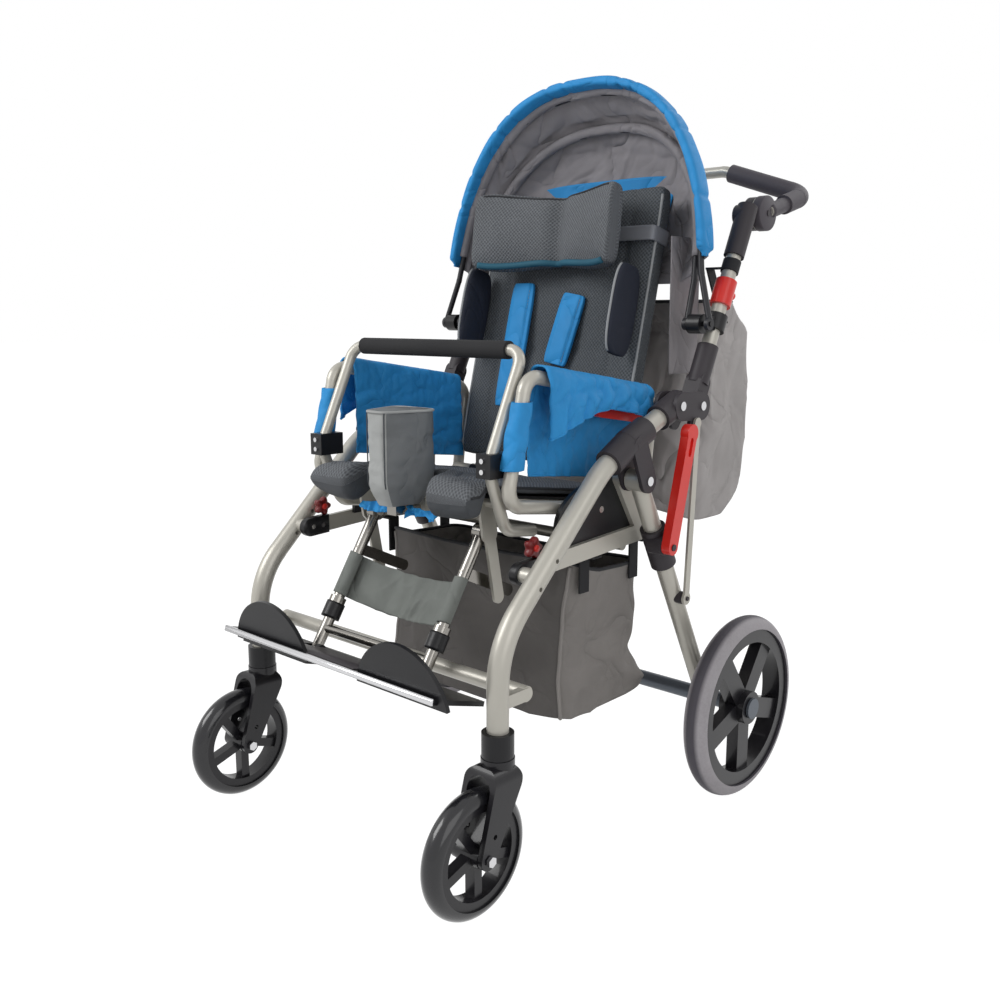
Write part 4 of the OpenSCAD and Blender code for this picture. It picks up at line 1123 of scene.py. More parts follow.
@dataclass
class Cushions:
    """Seat, back, head and side cushions, pommel and shoulder pads."""

    seat_half: float = 173.0
    seat_front: float = -474.0
    seat_rear: float = -146.0
    seat_thick: float = 22.0
    seat_lift: float = 12.3
    seat_seam: float = 132.0
    notch_depth: float = 80.0
    notch_half: float = 80.0
    roll_depth: float = 28.0
    roll_low: float = 500.0
    roll_radius: float = 24.0
    back_half: float = 178.0
    back_height: float = 462.0
    back_thick: float = 46.0
    back_seam: float = 122.0
    back_cross_seam: float = 0.42
    head_half: float = 146.0
    head_height: float = 126.0
    head_thick: float = 52.0
    head_crease: float = 10.0
    head_at: tuple[float, float] = (392.0, 84.0)
    head_wing: float = 40.0
    head_wing_power: float = 2.2
    pommel: tuple[float, float, float] = (52.0, 47.0, 142.0)
    pommel_front: float = 0.42
    pommel_at: tuple[float, float] = (-445.0, 506.0)
    shrink: float = 3.0
    trunk_at: tuple[float, float, float] = (162.0, 186.0, 87.3)
    trunk_height: float = 144.0
    trunk_half: tuple[float, float] = (9.0, 32.0)

    def seat_surface(self, share: Points, turn: Points) -> Points:
        """Seat cushion's surface.

        Args:
            share: place from front to rear.
            turn: place round the cushion, as an angle.

        Returns:
            Points in space.
        """
        y = self.seat_front + (self.seat_rear - self.seat_front) * share
        across, up = slab_ring(turn, 5.0)
        x = self.seat_half * across
        top = PLAN.seat(y, np.full_like(y, self.seat_lift + self.seat_thick - self.shrink))[..., 1]
        under = PLAN.seat(y, np.full_like(y, self.seat_lift))[..., 1]
        behind = np.clip((y - self.seat_front - self.roll_depth) / 12, 0, 1)
        low = self.roll_low + (under - self.roll_low) * behind
        notch = np.exp(-((np.abs(x) / self.notch_half) ** 10))
        low = low + (top - self.seat_thick - low) * np.minimum(1, 1.6 * notch)
        channel = 9 * np.exp(-((x / 34) ** 2)) * (0.25 + 0.75 * np.exp(-((share / 0.4) ** 2)))
        seam = 2.5 * bump(np.abs(x), self.seat_seam, 4) + 2.5 * bump(share, 0.2, 0.012)
        nose = np.clip((y - self.seat_front) / self.roll_radius, 0, 1)
        tail = np.clip((self.seat_rear - y) / (self.seat_thick / 2), 0, 1)
        draw = np.maximum(0.2, np.sqrt(1 - (1 - nose) ** 2) * np.sqrt(1 - (1 - tail) ** 2))
        middle = (low + top) / 2
        reach = np.where(up > 0, top - channel - seam - middle, middle - low)
        deep = y + self.notch_depth * notch * (1 - share) ** 3
        return np.stack([x, deep, middle + reach * up * draw], -1)

    def back_surface(self, share: Points, turn: Points) -> Points:
        """Backrest cushion's surface.

        Args:
            share: place from foot to top.
            turn: place round the cushion, as an angle.

        Returns:
            Points in space.
        """
        full = fullness(share, 7)
        half = self.back_half * (0.9 + 0.1 * full)
        across, up = slab_ring(turn, 4.4)
        x = half * across
        rise = self.back_thick / 2 * (0.35 + 0.65 * full) * up
        shaped = rise - full * 10 * np.exp(-((x / 96) ** 2)) + full * 8 * (np.abs(x) / half) ** 6
        cross = 2.5 * bump(share, self.back_cross_seam, 0.008) * (np.abs(x) < self.back_seam)
        seam = full * (4 * bump(np.abs(x), self.back_seam, 5) + cross)
        rise = np.where(rise > 0, shaped - seam - self.shrink * full, rise)
        return spread(x, PLAN.back(8 + self.back_height * share, 10.3 + self.back_thick / 2 + rise))

    def head_surface(self, share: Points, turn: Points) -> Points:
        """Head cushion's surface.

        Args:
            share: place across.
            turn: place round the cushion, as an angle.

        Returns:
            Points in space.
        """
        full = fullness(share, 5)
        x = self.head_half * (2 * share - 1)
        wing = self.head_wing * np.abs(2 * share - 1) ** self.head_wing_power
        upright, forward = slab_ring(turn, 4.0)
        out = self.head_thick / 2 * (0.4 + 0.6 * full) * forward
        rise = self.head_height / 2 * (0.72 + 0.28 * full) * upright
        valley = 15 * bump(x, self.head_crease, 17)
        out = np.where(out > 0, out - full * (valley + self.shrink), out)
        rise = rise - 5 * np.cos(2 * np.pi * (share - 0.5)) * upright
        foot = PLAN.back(*self.head_at)
        lean = math.radians(8)
        y = foot[0] - (out + wing) * math.cos(lean) + rise * math.sin(lean)
        z = foot[1] + (out + wing) * math.sin(lean) + rise * math.cos(lean)
        return np.stack([x, y, z], -1)

    def seat_free(self, places: Points) -> Points:
        """Where the seat cushion's cloth is free to swell.

        Args:
            places: points in millimetres.

        Returns:
            0 on its underside and its sewn channels, 1 between them.
        """
        x, y, z = places.T
        under = PLAN.seat(y, np.full_like(y, self.seat_lift))[:, 1]
        above = np.clip((z - under - 6) / 6, 0, 1)
        seams = bump(x, 0, 22) + bump(np.abs(x), self.seat_seam, 8) + bump(y, self.seat_front + 66, 8)
        return above * np.clip(1 - seams, 0, 1)

    def back_free(self, places: Points) -> Points:
        """Where the backrest cushion's cloth is free to swell.

        Args:
            places: points in millimetres.

        Returns:
            0 on its rear and its sewn channels, 1 between them.
        """
        lean = math.radians(PLAN.back_lean)
        y, z = places[:, 1] - PLAN.back_foot[0], places[:, 2] - PLAN.back_foot[1]
        along = y * math.sin(lean) + z * math.cos(lean)
        out = z * math.sin(lean) - y * math.cos(lean)
        cross = bump(along, 8 + self.back_cross_seam * self.back_height, 9)
        seams = bump(np.abs(places[:, 0]), self.back_seam, 9) + cross
        return np.clip((out - 26) / 8, 0, 1) * np.clip(1 - seams, 0, 1)

    def head_free(self, places: Points) -> Points:
        """Where the head cushion's cloth is free to swell.

        Args:
            places: points in millimetres.

        Returns:
            0 on its rear and its sewn channels, 1 between them.
        """
        x, y, _ = places.T
        wing = self.head_wing * np.abs(x / self.head_half) ** self.head_wing_power
        rear = PLAN.back(*self.head_at)[0] - wing
        return np.clip((rear - y) / 8, 0, 1) * np.clip(1 - bump(x, self.head_crease, 12), 0, 1)

    def pommel_free(self, places: Points) -> Points:
        """Where the pommel's cloth is free to swell.

        Args:
            places: points in millimetres.

        Returns:
            0 at its foot, rising to 1.
        """
        return np.clip((places[:, 2] - self.pommel_at[1] - 36) / 30, 0, 1)

    def pommel_surface(self, share: Points, turn: Points) -> Points:
        """Pommel's surface.

        Args:
            share: place from foot to top.
            turn: place round it, as an angle.

        Returns:
            Points in space.
        """
        half_x, half_y, height = self.pommel
        half_x, half_y = half_x - self.shrink, half_y - self.shrink
        low = np.where(share < 0.3, 0.62 + 0.38 * np.sin(np.radians(np.minimum(share, 0.3) * 300)), 1.0)
        full = low - 0.05 * (np.maximum(0, share - 0.93) / 0.07) ** 2
        square = 5.5
        reach = full * (np.abs(np.cos(turn)) ** square + np.abs(np.sin(turn)) ** square) ** (-1 / square)
        across, along = reach * np.cos(turn), reach * np.sin(turn)
        x = half_x * across * (self.pommel_front + (1 - self.pommel_front) * (along + 1) / 2)
        return np.stack([x, self.pommel_at[0] + half_y * along, self.pommel_at[1] + height * share], -1)

    def block(
        self, name: str, surface: Callable[[Points, Points], Points], rows: int, cols: int, finish: Finish,
        under: Finish | None = None, folds: float = 0.0, strip: tuple[float, float] = (1.0, 2.0),
    ) -> bpy.types.Object:
        """Makes a closed cushion from its surface.

        Args:
            name: the piece's name.
            surface: places from share and turn.
            rows: how many rings.
            cols: how many points round each ring.
            finish: its finish.
            under: finish of one strip of its surface, if it differs.
            folds: depth of the folds in its cover.
            strip: where on each ring that strip starts and ends, in half turns.

        Returns:
            The object.
        """
        share = eased(rows)
        turn = 2 * np.pi * (np.arange(cols) + 0.5) / cols
        grid = surface(*np.meshgrid(share, turn, indexing="ij"))
        relief = 0.7 * ripple(grid, 60, len(name)) + folds * crumple(grid, 70, 7, (1, 1, 0.8))
        grid = grid + grid_normals(grid, True) * relief[..., None]
        if under is None:
            return lofted(name, grid, finish, flat_ends=True)
        inside = (turn > strip[0] * np.pi) & (turn < strip[1] * np.pi)
        return lofted(name, grid, finish, under, flat_ends=True, worn=inside)

    def line_on(self, surface: Callable[[Points, Points], Points], share: Points, turn: Points) -> Points:
        """A path on a cushion.

        Args:
            surface: the cushion's surface.
            share: first places.
            turn: second places.

        Returns:
            The path's points.
        """
        share, turn = np.broadcast_arrays(np.asarray(share, float), np.asarray(turn, float))
        return surface(share, turn)

    def build(self) -> None:
        """Makes every cushion and its trim."""
        seat = self.block("seat_pad", self.seat_surface, 110, 200, MESH, SEAT_SIDE)
        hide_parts("seat_cushion")
        back = self.block("back_pad", self.back_surface, 110, 144, DARK_MESH)
        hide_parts("back_cushion")
        head = self.block("head_pad", self.head_surface, 110, 96, MESH)
        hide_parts("head_cushion")
        # The pommel's front strip takes the paler strip cloth, painted light on its front face; its crown
        # piping shares that colour.
        pommel = self.block("pommel_block", self.pommel_surface, 60, 96, BLOCK, LIT_STRIP, -3.0, (1.25, 1.75))
        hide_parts("pommel_pad")
        for piece, body, free, fill in (
            (seat, "seat", self.seat_free, 0.7), (back, "backrest", self.back_free, 0.7),
            (head, "headrest", self.head_free, 0.8), (pommel, "pommel", self.pommel_free, 0.9),
        ):
            Filling().swell(piece, free)
            rides(body, piece)
        self.edge_trim()
        self.shoulder_pads()
        self.trunk_supports()

    def edge_trim(self) -> None:
        """Makes piping along the cushions' edges."""
        along = np.linspace(0.03, 0.97, 60)
        for name, turn, inset in (("left", 0.02, 0.12), ("right", np.pi - 0.02, -0.12)):
            seat_path = self.line_on(self.seat_surface, along, turn)
            back_path = self.line_on(self.back_surface, along, turn + inset)
            rides("seat", tube(f"seat_piping_{name}", seat_path, 2.0, DARK_PIPING, 8))
            rides("backrest", tube(f"back_piping_{name}", back_path, 2.2, PIPING, 8))
        across = np.linspace(0.04, 0.96, 70)
        edge = 0.42
        foot = tube("head_trim", self.line_on(self.head_surface, across, np.pi - edge), 5.5, TEAL, 10)
        top = tube("head_piping", self.line_on(self.head_surface, across, edge), 1.6, DARK_PIPING, 8)
        rides("headrest", foot, top)
        rim = 0.985
        whole = 2 * np.pi * np.arange(90) / 90
        crown_path = self.line_on(self.pommel_surface, rim, whole)
        rides("pommel", tube("pommel_piping", crown_path, 2.0, LIT_STRIP, 8, closed=True))
        for name, turn in (("left", 1.74 * np.pi), ("right", 1.26 * np.pi)):
            seam_path = self.line_on(self.pommel_surface, np.linspace(0.2, rim, 50), turn)
            rides("pommel", tube(f"pommel_seam_{name}", seam_path, 1.1, SEAT_SIDE, 8))

    def shoulder_pads(self) -> None:
        """Makes the two padded shoulder straps with stitched borders."""
        half, thick, border = 25.0, 14.0, 17.5
        runs = {"left": ((15, 173, 56.9), (36, 293, 56.9)), "right": ((-78, 95, 59.2), (-78, 313, 59.2))}
        for name, (low, high) in runs.items():
            low, high = np.array(low, float), np.array(high, float)
            run = (high - low)[:2] / np.linalg.norm((high - low)[:2])
            rings = []
            for s in eased(70):
                full = float(fullness(np.array(s), 5))
                shape = outline(half * (0.6 + 0.4 * full), thick / 2 * (0.4 + 0.6 * full), 0.5, 48)
                edge = 1 - 0.5 * np.clip((np.abs(shape[:, 0]) - border + 1.5) / 3, 0, 1)
                lift = np.where(shape[:, 1] > 0, shape[:, 1] * edge, shape[:, 1])
                middle = low + (high - low) * s
                x = middle[0] + shape[:, 0] * run[1]
                rings.append(spread(x, PLAN.back(middle[1] - shape[:, 0] * run[0], middle[2] + lift)))
            pad = lofted(f"shoulder_pad_{name}", np.array(rings), BLUE)
            places, ways = [], []
            for edge in (-border, border):
                for s in np.linspace(0.07, 0.93, 34):
                    middle = low + (high - low) * s
                    foot = PLAN.back(middle[1] - edge * run[0], middle[2] + thick * 0.3)
                    places.append([middle[0] + edge * run[1], *foot])
                    lean = math.radians(PLAN.back_lean)
                    ways.append([run[0], run[1] * math.sin(lean), run[1] * math.cos(lean)])
            stitches = repeated(
                f"shoulder_stitches_{name}", np.array(places), np.array(ways), Head.HEX, 0.5, 3.4, PIPING)
            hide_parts("shoulder_pads")
            rides("backrest", pad, stitches)

    def trunk_supports(self) -> None:
        """Makes the side pads at the trunk, with piping."""
        share = eased(60)
        turn = 2 * np.pi * (np.arange(64) + 0.5) / 64
        at_x, at_height, at_out = self.trunk_at
        half_x, half_out = self.trunk_half
        s, t = np.meshgrid(share, turn, indexing="ij")
        full = fullness(s, 3)
        deep = half_out * (0.3 + 0.7 * full) * signed_power(np.sin(t), 0.6)
        x = at_x + half_x * (0.4 + 0.6 * full) * signed_power(np.cos(t), 0.6)
        edge = np.linspace(0.02, 0.98, 50)
        out = at_out + (half_out + 0.5) * (0.3 + 0.7 * fullness(edge, 3))
        for name, side in SIDES.items():
            grid = spread(side * x, PLAN.back(at_height + self.trunk_height * s, at_out + deep))
            pad = lofted(f"trunk_pad_{name}", grid, NAVY)
            rim = spread(np.full(50, side * at_x), PLAN.back(at_height + self.trunk_height * edge, out))
            piping = tube(f"trunk_piping_{name}", rim, 2.0, PIPING, 8)
            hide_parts("trunk_supports")
            rides("backrest", pad, piping)


@dataclass
class Hood:
    """Folding hood: cover, rolled front band, back panel and side flaps."""

    front: tuple[float, float, float] = (8.0, 266.0, 388.0)
    middle: tuple[float, float, float] = (18.0, 247.0, 348.0)
    bow_rows: tuple[int, int] = (1, 3)
    power: float = 0.81
    clear: float = 10.5
    low: float = 11.0
    bulge: float = 10.0
    patch_half: float = 146.0
    patch_low: float = 905.0
    patch_height: float = 112.0
    patch_y: float = 58.0
    flap_x: float = 209.0
    flap_y: tuple[float, float] = (-48.0, 34.0)
    flap_z: tuple[float, float] = (906.0, 690.0)

    def arch(self, lean: float, half: float, height: float, turn: Points) -> Points:
        """Points along an arch over the seat.

        Args:
            lean: how far its plane leans back, in degrees.
            half: half its width.
            height: its height over the knobs.
            turn: angles along it, in degrees.

        Returns:
            Points in space.
        """
        x = half * signed_power(np.cos(np.radians(turn)), self.power)
        r = height * signed_power(np.sin(np.radians(turn)), self.power)
        y = PLAN.hood_at[0] + r * math.sin(math.radians(lean))
        z = PLAN.hood_at[1] + r * math.cos(math.radians(lean))
        return np.stack([x, y, z], -1)

    def stations(self) -> list[tuple[float, float, float]]:
        """Lean, half width and height of the cover's arches, front to rear.

        Returns:
            One entry for each arch.
        """
        f, m = self.front, self.middle
        return [
            (f[0] - 3, f[1], f[2]), f, ((f[0] + m[0]) / 2, (f[1] + m[1]) / 2 + 1, f[2] - 19), m,
            (m[0] + 6, m[1] - 14, m[2] - 32), (m[0] + 10, m[1] - 40, m[2] - 78),
        ]

    def build(self) -> None:
        """Makes the hood's pieces."""
        turn = np.linspace(self.low, 180 - self.low, 150)
        table = np.array(self.stations())
        shares = np.linspace(0, len(table) - 1, 64)
        rows = []
        for share in shares:
            lean, half, height = (np.interp(share, np.arange(len(table)), table[:, k]) for k in range(3))
            sag = 5.0 * np.sin(np.pi * np.clip((share - 1) / 2, 0, 1)) ** 2
            slack = sag + 4.0 * np.clip(share - 3, 0, 2) / 2
            rows.append(self.arch(lean, half + self.clear - slack, height + self.clear - slack, turn))
        grid = np.array(rows)
        from_bow = np.minimum(np.abs(shares - self.bow_rows[0]), np.abs(shares - self.bow_rows[1]))
        loose = np.clip(shares / 1.5, 0, 1) * np.clip(from_bow / 0.6, 0, 1) ** 2
        fold = crumple(grid, 150, 3, (1, 0.3, 0.8)) * loose[:, None]
        inward = grid - np.array([0, *PLAN.hood_at])
        inward /= -np.linalg.norm(inward, axis=2, keepdims=True)
        grid = grid + inward * (9.0 * fold)[..., None]
        cover = cloth("hood_cloth", grid, 2.4, LINING, BLUE)
        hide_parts("hood_cover")
        back = metres(self.arch(26.0, 0.0, 300.0, np.array([90.0])))[0]
        rim = metres(self.arch(6.0, 0.0, 388.0, np.array([90.0])))[0]
        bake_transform(cover)
        declare_sheet(grid)
        self.front_band()
        self.bow_sleeve("front_hood", self.front)
        self.bow_sleeve("mid_hood", self.middle)
        self.back_panel()
        for name in SIDES:
            self.side_flap(name)

    def bow_sleeve(self, body: str, bow: tuple[float, float, float]) -> None:
        """Makes the cloth channel that holds a bow.

        Args:
            body: the body that the bow belongs to.
            bow: the bow's lean, half width and height.
        """
        turn = np.linspace(self.low + 3, 177 - self.low, 160)
        path = self.arch(*bow, turn)
        width = 8.8 + 0.4 * ripple(path, 90, 5)
        sleeve = tube(f"{body}_sleeve", path, width, LINING, 14)
        rides(body, sleeve)

    def side_flap(self, name: str) -> None:
        """Makes the plain flap that hangs from the hood beside the backrest.

        Args:
            name: the child's left or right.
        """
        top, foot = self.flap_z
        y, z = np.meshgrid(np.linspace(*self.flap_y, 40), np.linspace(top, foot, 60))
        drop = (top - z) / (top - foot)
        x = self.flap_x + 2.5 * np.sin(y / 13 + z / 90) * drop + 4 * drop
        grid = on_side(np.stack([x, y, z], -1), name)
        flap = cloth(f"hood_flap_{name}", grid, 2.0, GREY)
        declare_sheet(grid)
        rides("push_frame", flap)

    def front_band(self) -> None:
        """Makes the flat padded band round the front bow."""
        turn = np.linspace(self.low, 180 - self.low, 320)
        lean, half, height = self.front
        path = self.arch(lean - 2.2, half + 8, height + 8, turn)
        ahead = np.gradient(path, axis=0)
        ahead /= np.linalg.norm(ahead, axis=1, keepdims=True)
        tilt = math.radians(lean)
        axis = np.array([0, math.cos(tilt), -math.sin(tilt)])
        outward = np.cross(axis, ahead)
        length = np.linspace(0, 1, len(turn))
        creases = (0.09, 0.2, 0.27, 0.36, 0.42, 0.51, 0.57, 0.66, 0.73, 0.82, 0.91)
        pinch = sum(bump(length, at + 0.012 * math.sin(40 * at), 0.005) for at in creases)
        ends = np.clip(np.minimum(length, 1 - length) / 0.01, 0.4, 1)
        thick = (8.0 - 2.6 * pinch + 0.5 * np.sin(length * 61)) * ends
        deep = (18.0 - 1.5 * pinch) * ends
        shape = outline(1.0, 1.0, 0.62, 28)
        rings = path[:, None] + shape[None, :, :1] * (thick[:, None] * outward)[:, None]
        rings = rings + shape[None, :, 1:] * (deep[:, None] * axis)[:, None]
        band = lofted("hood_band", rings, BLUE)
        rides("front_hood", band)

    def back_panel(self) -> None:
        """Makes the panel that closes the hood behind the head."""
        lean, half, height = self.stations()[-1]
        turn = np.linspace(self.low, 90, 40)
        edge = self.arch(lean, half + self.clear - 5, height + self.clear - 5, turn)
        across = np.linspace(-1, 1, 60)
        rows = []
        for half_x, y, z in edge[:-1]:
            rows.append(np.stack([half_x * across, y + self.bulge * (1 - across**2), np.full(60, z)], 1))
        grid = np.array(rows)
        panel = cloth("hood_back", grid, 2.0, LINING)
        declare_sheet(grid)
        x, z = np.meshgrid(np.linspace(-1, 1, 60), np.linspace(0, 1, 30))
        corner = 1 - 0.08 * np.clip((z - 0.8) / 0.2, 0, 1) ** 3
        rise = self.patch_low + self.patch_height * z - 5 * x**4
        wide = np.maximum(np.interp(rise, edge[:, 2], edge[:, 0]), self.patch_half)
        round_out = self.bulge * (1 - (self.patch_half * x / wide) ** 2)
        behind = np.interp(rise, edge[:, 2], edge[:, 1]) + round_out
        depth = np.minimum(behind - 5, self.patch_y + 6 * (1 - x**2))
        strip = np.stack([self.patch_half * x * corner, depth, rise], -1)
        patch = cloth("hood_patch", strip, 2.0, BLUE)
        declare_sheet(strip)
        for piece in (panel, patch):
            rides("push_frame", piece)
            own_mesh(piece)


@dataclass
class Slings:
    """Cloth hung on the frame: arm covers, calf strap, basket, bag and straps."""

    sling_from: float = 74.0
    sling_to: float = 144.0
    basket_low: float = 173.0
    basket_rim: float = 396.0
    basket_front: tuple[float, float] = (219.0, 321.0)
    bag_low: float = 457.0
    bag_rim: float = 806.0

    def build(self) -> None:
        """Makes every hung piece."""
        for name in SIDES:
            self.arm_cover(name)
            self.head_strap(name)
        self.calf_strap()
        self.basket()
        self.bag()

    def arm_cover(self, name: str) -> None:
        """Makes the cloth over one arm and the sleeve on its front post.

        Args:
            name: the child's left or right.
        """
        side = SIDES[name]
        rows = []
        for s in np.linspace(0, 1, 70):
            foot = between(PLAN.loop_high_front, PLAN.loop_high_rear, 0.09 + 0.81 * s)
            full = float(fullness(np.array(s), 4))
            inn, out = 15.0, 14.0 + 7 * full
            in_low = 138 - 10 * s
            out_low = 28 + 58 * max(0.0, 1 - s / 0.55) ** 1.4 + 8 * s**6
            inside = [[-inn - 1, -in_low], [-inn - 3, -in_low * 0.5], [-inn, -4]]
            over = [[-inn * 0.9, 11], [-inn * 0.35, 17], [out * 0.4, 17], [out * 0.95, 10]]
            outside = [[out + 1, -4], [out + 3, -out_low * 0.6], [out + 1, -out_low]]
            x, z = resampled(inside + over + outside, 80).T
            rows.append(np.column_stack([PLAN.loop_x + x, np.full(80, foot[0]), foot[1] + z]))
        grid = np.array(rows)
        hang = np.clip(np.abs(np.linspace(-1, 1, 80) + 0.25) - 0.25, 0, 1)[None, :]
        folds = crumple(grid, 80, 11 + side, (0.3, 1, 0.7)) * (4.0 + 7.0 * hang)
        folds = folds + crumple(grid, 36, 5 + side, (0.3, 1, 0.5)) * 2.2
        grid[..., 0] += np.where(grid[..., 0] > PLAN.loop_x, 1, -1) * folds
        grid = on_side(grid, name)
        cover = cloth(f"arm_cloth_{name}", grid, 3.0, BLUE)
        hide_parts("arm_covers")
        declare_sheet(grid)
        for edge, column in (("inner", 0), ("outer", -1)):
            rides("seat", tube(f"arm_hem_{edge}_{name}", grid[:, column], 2.2, BLUE, 8))
        post_line = (PLAN.loop_high_front, PLAN.loop_low_front)
        a, b = between(*post_line, 0.2), between(*post_line, 0.72)
        along = np.linspace(0, 1, 40)
        turn = 2 * np.pi * np.arange(40) / 40
        axis = a + (b - a) * along[:, None]
        round_x, round_y = 13 * np.cos(turn)[None], 13 * np.sin(turn)[None]
        ring = np.stack(np.broadcast_arrays(round_x, round_y, axis[:, 1:]), -1)
        radius = 12.6 + 2 * along[:, None] + 3.2 * crumple(ring, 60, 17 + side, (1, 1, 0.8))
        post = np.stack([PLAN.loop_x + radius * np.cos(turn), axis[:, :1] + radius * np.sin(turn),
                         np.broadcast_to(axis[:, 1:], radius.shape)], -1)
        post = on_side(post, name)
        sleeve = cloth(f"post_sleeve_{name}", post, 2.0, BLUE, wrap=True)
        declare_sheet(post)
        rides("seat", cover, sleeve)

    def head_strap(self, name: str) -> None:
        """Makes one tape from the head cushion round the backrest's edge.

        Args:
            name: the child's left or right.
        """
        path = resampled([[66, 62], [120, 62.1], [172, 62.1], [179, 60], [179, 48], [179, 20]], 60, 3)
        high = np.linspace(378, 402, 9)
        grid = np.stack([spread(path[:, 0], PLAN.back(h, path[:, 1])) for h in high])
        grid = on_side(grid, name)
        tape = cloth(f"head_tape_{name}", grid, 1.6, SATIN)
        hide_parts("head_straps")
        declare_sheet(grid)
        rides("headrest", tape)

    def calf_strap(self) -> None:
        """Makes the sling between the leg rest tubes, with its sleeves."""
        wrap = np.radians(np.linspace(-70, -270, 24))
        loop = np.stack([PLAN.leg_x + 11 * np.cos(wrap - np.pi / 2), -11 * np.sin(wrap - np.pi / 2)], 1)
        span = np.linspace(PLAN.leg_x - 2, -PLAN.leg_x + 2, 60)
        sag = 11 + 25 * np.maximum(0, 1 - (span / (PLAN.leg_x - 8)) ** 2)
        path = np.concatenate([loop, np.stack([span, sag], 1), (loop * [-1, 1])[::-1]])
        path = resampled(path, 130, 1)
        rows = []
        for along in np.linspace(self.sling_from, self.sling_to, 30):
            drop = 7 * np.maximum(0, 1 - (path[:, 0] / (PLAN.leg_x + 10)) ** 2)
            part = (along - self.sling_from) / (self.sling_to - self.sling_from)
            edge = 1.5 * np.cos(part * 2 * np.pi) * (np.abs(path[:, 0]) < 100)
            rows.append(spread(path[:, 0], PLAN.leg(along + drop, path[:, 1] + edge)))
        grid = np.array(rows)
        slack = np.clip(1.25 - np.abs(path[:, 0]) / 82, 0, 1)
        grid[..., 1] += 9 * slack * crumple(grid, 95, 4, (1, 0.4, 0.6))
        sling = cloth("calf_sling", grid, 2.2, SLING)
        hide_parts("calf_strap")
        declare_sheet(grid)
        rides("leg_rest", sling)

    def pouch(self, ring: Callable[[float], Points], floor_rows: int, wall_rows: int) -> Points:
        """Grid of a pouch from its rim down its walls and in over its floor.

        Args:
            ring: closed outline at a share of the height.
            floor_rows: how many rings on the floor.
            wall_rows: how many rings on the walls.

        Returns:
            Rows of points, each row a closed ring.
        """
        rows = [ring(s) for s in 1 - eased(wall_rows, 0.4)]
        low = rows[-1]
        middle = low.mean(0)
        for k in range(1, floor_rows):
            share = 1 - k / floor_rows
            rows.append(middle + (low - middle) * share - np.array([0, 0, 1.5 * (1 - share**2)]))
        return np.array(rows)

    def inward(self, grid: Points, y: float) -> Points:
        """Level directions from a pouch's cloth to its middle.

        Args:
            grid: the pouch's rows of points.
            y: where its middle is.

        Returns:
            Unit directions.
        """
        way = np.array([0, y, 0]) - grid
        way[..., 2] = 0
        return way / np.maximum(np.linalg.norm(way, axis=2, keepdims=True), 1e-6)

    def basket(self) -> None:
        """Makes the open basket under the seat."""
        count = 220

        def ring(s: float) -> Points:
            front = -308 + 22 * s
            rear = -38 - 66 * s - 20 * bump(s, 0.3, 0.16)
            half = 211 - 10 * math.sin(math.pi * s)
            shape = outline(half, (rear - front) / 2, 0.28, count)
            y = (front + rear) / 2 + shape[:, 1]
            share = np.maximum(0, -shape[:, 1] / (rear - front) * 2)
            dip = 16 * (1 - (shape[:, 0] / half) ** 2) * (1 - s / 2)
            z = self.basket_low + (self.basket_rim - self.basket_low) * s + s * 26 * share**2 - s * dip
            return np.stack([shape[:, 0], y, z], 1)

        grid = self.pouch(ring, 30, 70)
        folds = crumple(grid, 170, 21, (1, 1, 0.5))
        below_rim = np.clip(np.linspace(0, 2.2, len(grid)), 0, 1)[:, None]
        walls = below_rim * np.clip(np.linspace(3, 0.6, len(grid)), 0, 1)[:, None]
        rise, back = grid[..., 2] - self.basket_low - 3, -42 - grid[..., 1]
        reach = np.hypot(rise, back)
        pleats = np.cos(9 * np.arctan2(rise, back)) * np.exp(-reach / 90) * (1 - np.exp(-reach / 22))
        depth = folds * 12 * walls + 9 * (1 + pleats) * np.exp(-reach / 120) * walls
        grid = grid + self.inward(grid, -180.0) * depth[..., None]
        turn = np.degrees(2 * np.pi * (np.arange(count) + 0.5) / count)
        left, right = self.basket_front
        # The front columns take the darker panel cloth, which is painted shade on the basket's front.
        tray = cloth("basket_cloth", grid, 2.2, BASKET, SHADED_PANEL, True, (turn > left) & (turn < right))
        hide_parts("basket")
        declare_sheet(grid)
        hem = tube("basket_hem", grid[0] + [0, 0, 1], 3.0, DARK_PIPING, 8, closed=True)
        rides("frame", tray, hem)
        for column in (np.argmin(abs(turn - left)), np.argmin(abs(turn - right))):
            seam = tube(f"basket_seam_{column}", grid[2:72, column] + [0, -1.5, 0], 3.2, SEAM, 8)
            rides("frame", seam)

    def bag(self) -> None:
        """Makes the bag behind the push tubes."""
        count = 200
        rear_at = ((0, 262), (0.3, 252), (0.86, 219), (1, 142))
        shares = [k for k, _ in rear_at]
        reach = [v for _, v in rear_at]
        round_foot = 0.2

        def ring(s: float) -> Points:
            front = 43 - 16 * s
            rear = float(np.interp(s, shares, reach)) - 1 - 62 * max(0.0, 1 - s / round_foot) ** 2.4
            half = 196 + 32 * s + 7 * math.sin(math.pi * s) - 1
            shape = outline(half, (rear - front) / 2, 0.42, count)
            level = self.bag_low + (self.bag_rim - self.bag_low) * s
            z = level - (1 - s) * 26 * np.abs(shape[:, 0] / half) ** 3
            return np.stack([shape[:, 0], (front + rear) / 2 + shape[:, 1], z], 1)

        grid = self.pouch(ring, 24, 90)
        rows = np.linspace(0, 1, len(grid))[:, None]
        folds = crumple(grid, 210, 31, (1, 1, 0.55)) * np.sin(np.pi * np.clip(rows * 1.25, 0, 1)) * 20
        grid = grid + self.inward(grid, 130.0) * folds[..., None]
        pouch = cloth("bag_cloth", grid, 2.2, BAG, wrap=True)
        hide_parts("back_bag")
        declare_sheet(grid)
        hem = tube("bag_hem", grid[0], 3.0, DARK_PIPING, 8, closed=True)
        rides("push_frame", pouch, hem)
        for piece in (pouch, hem):
            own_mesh(piece)


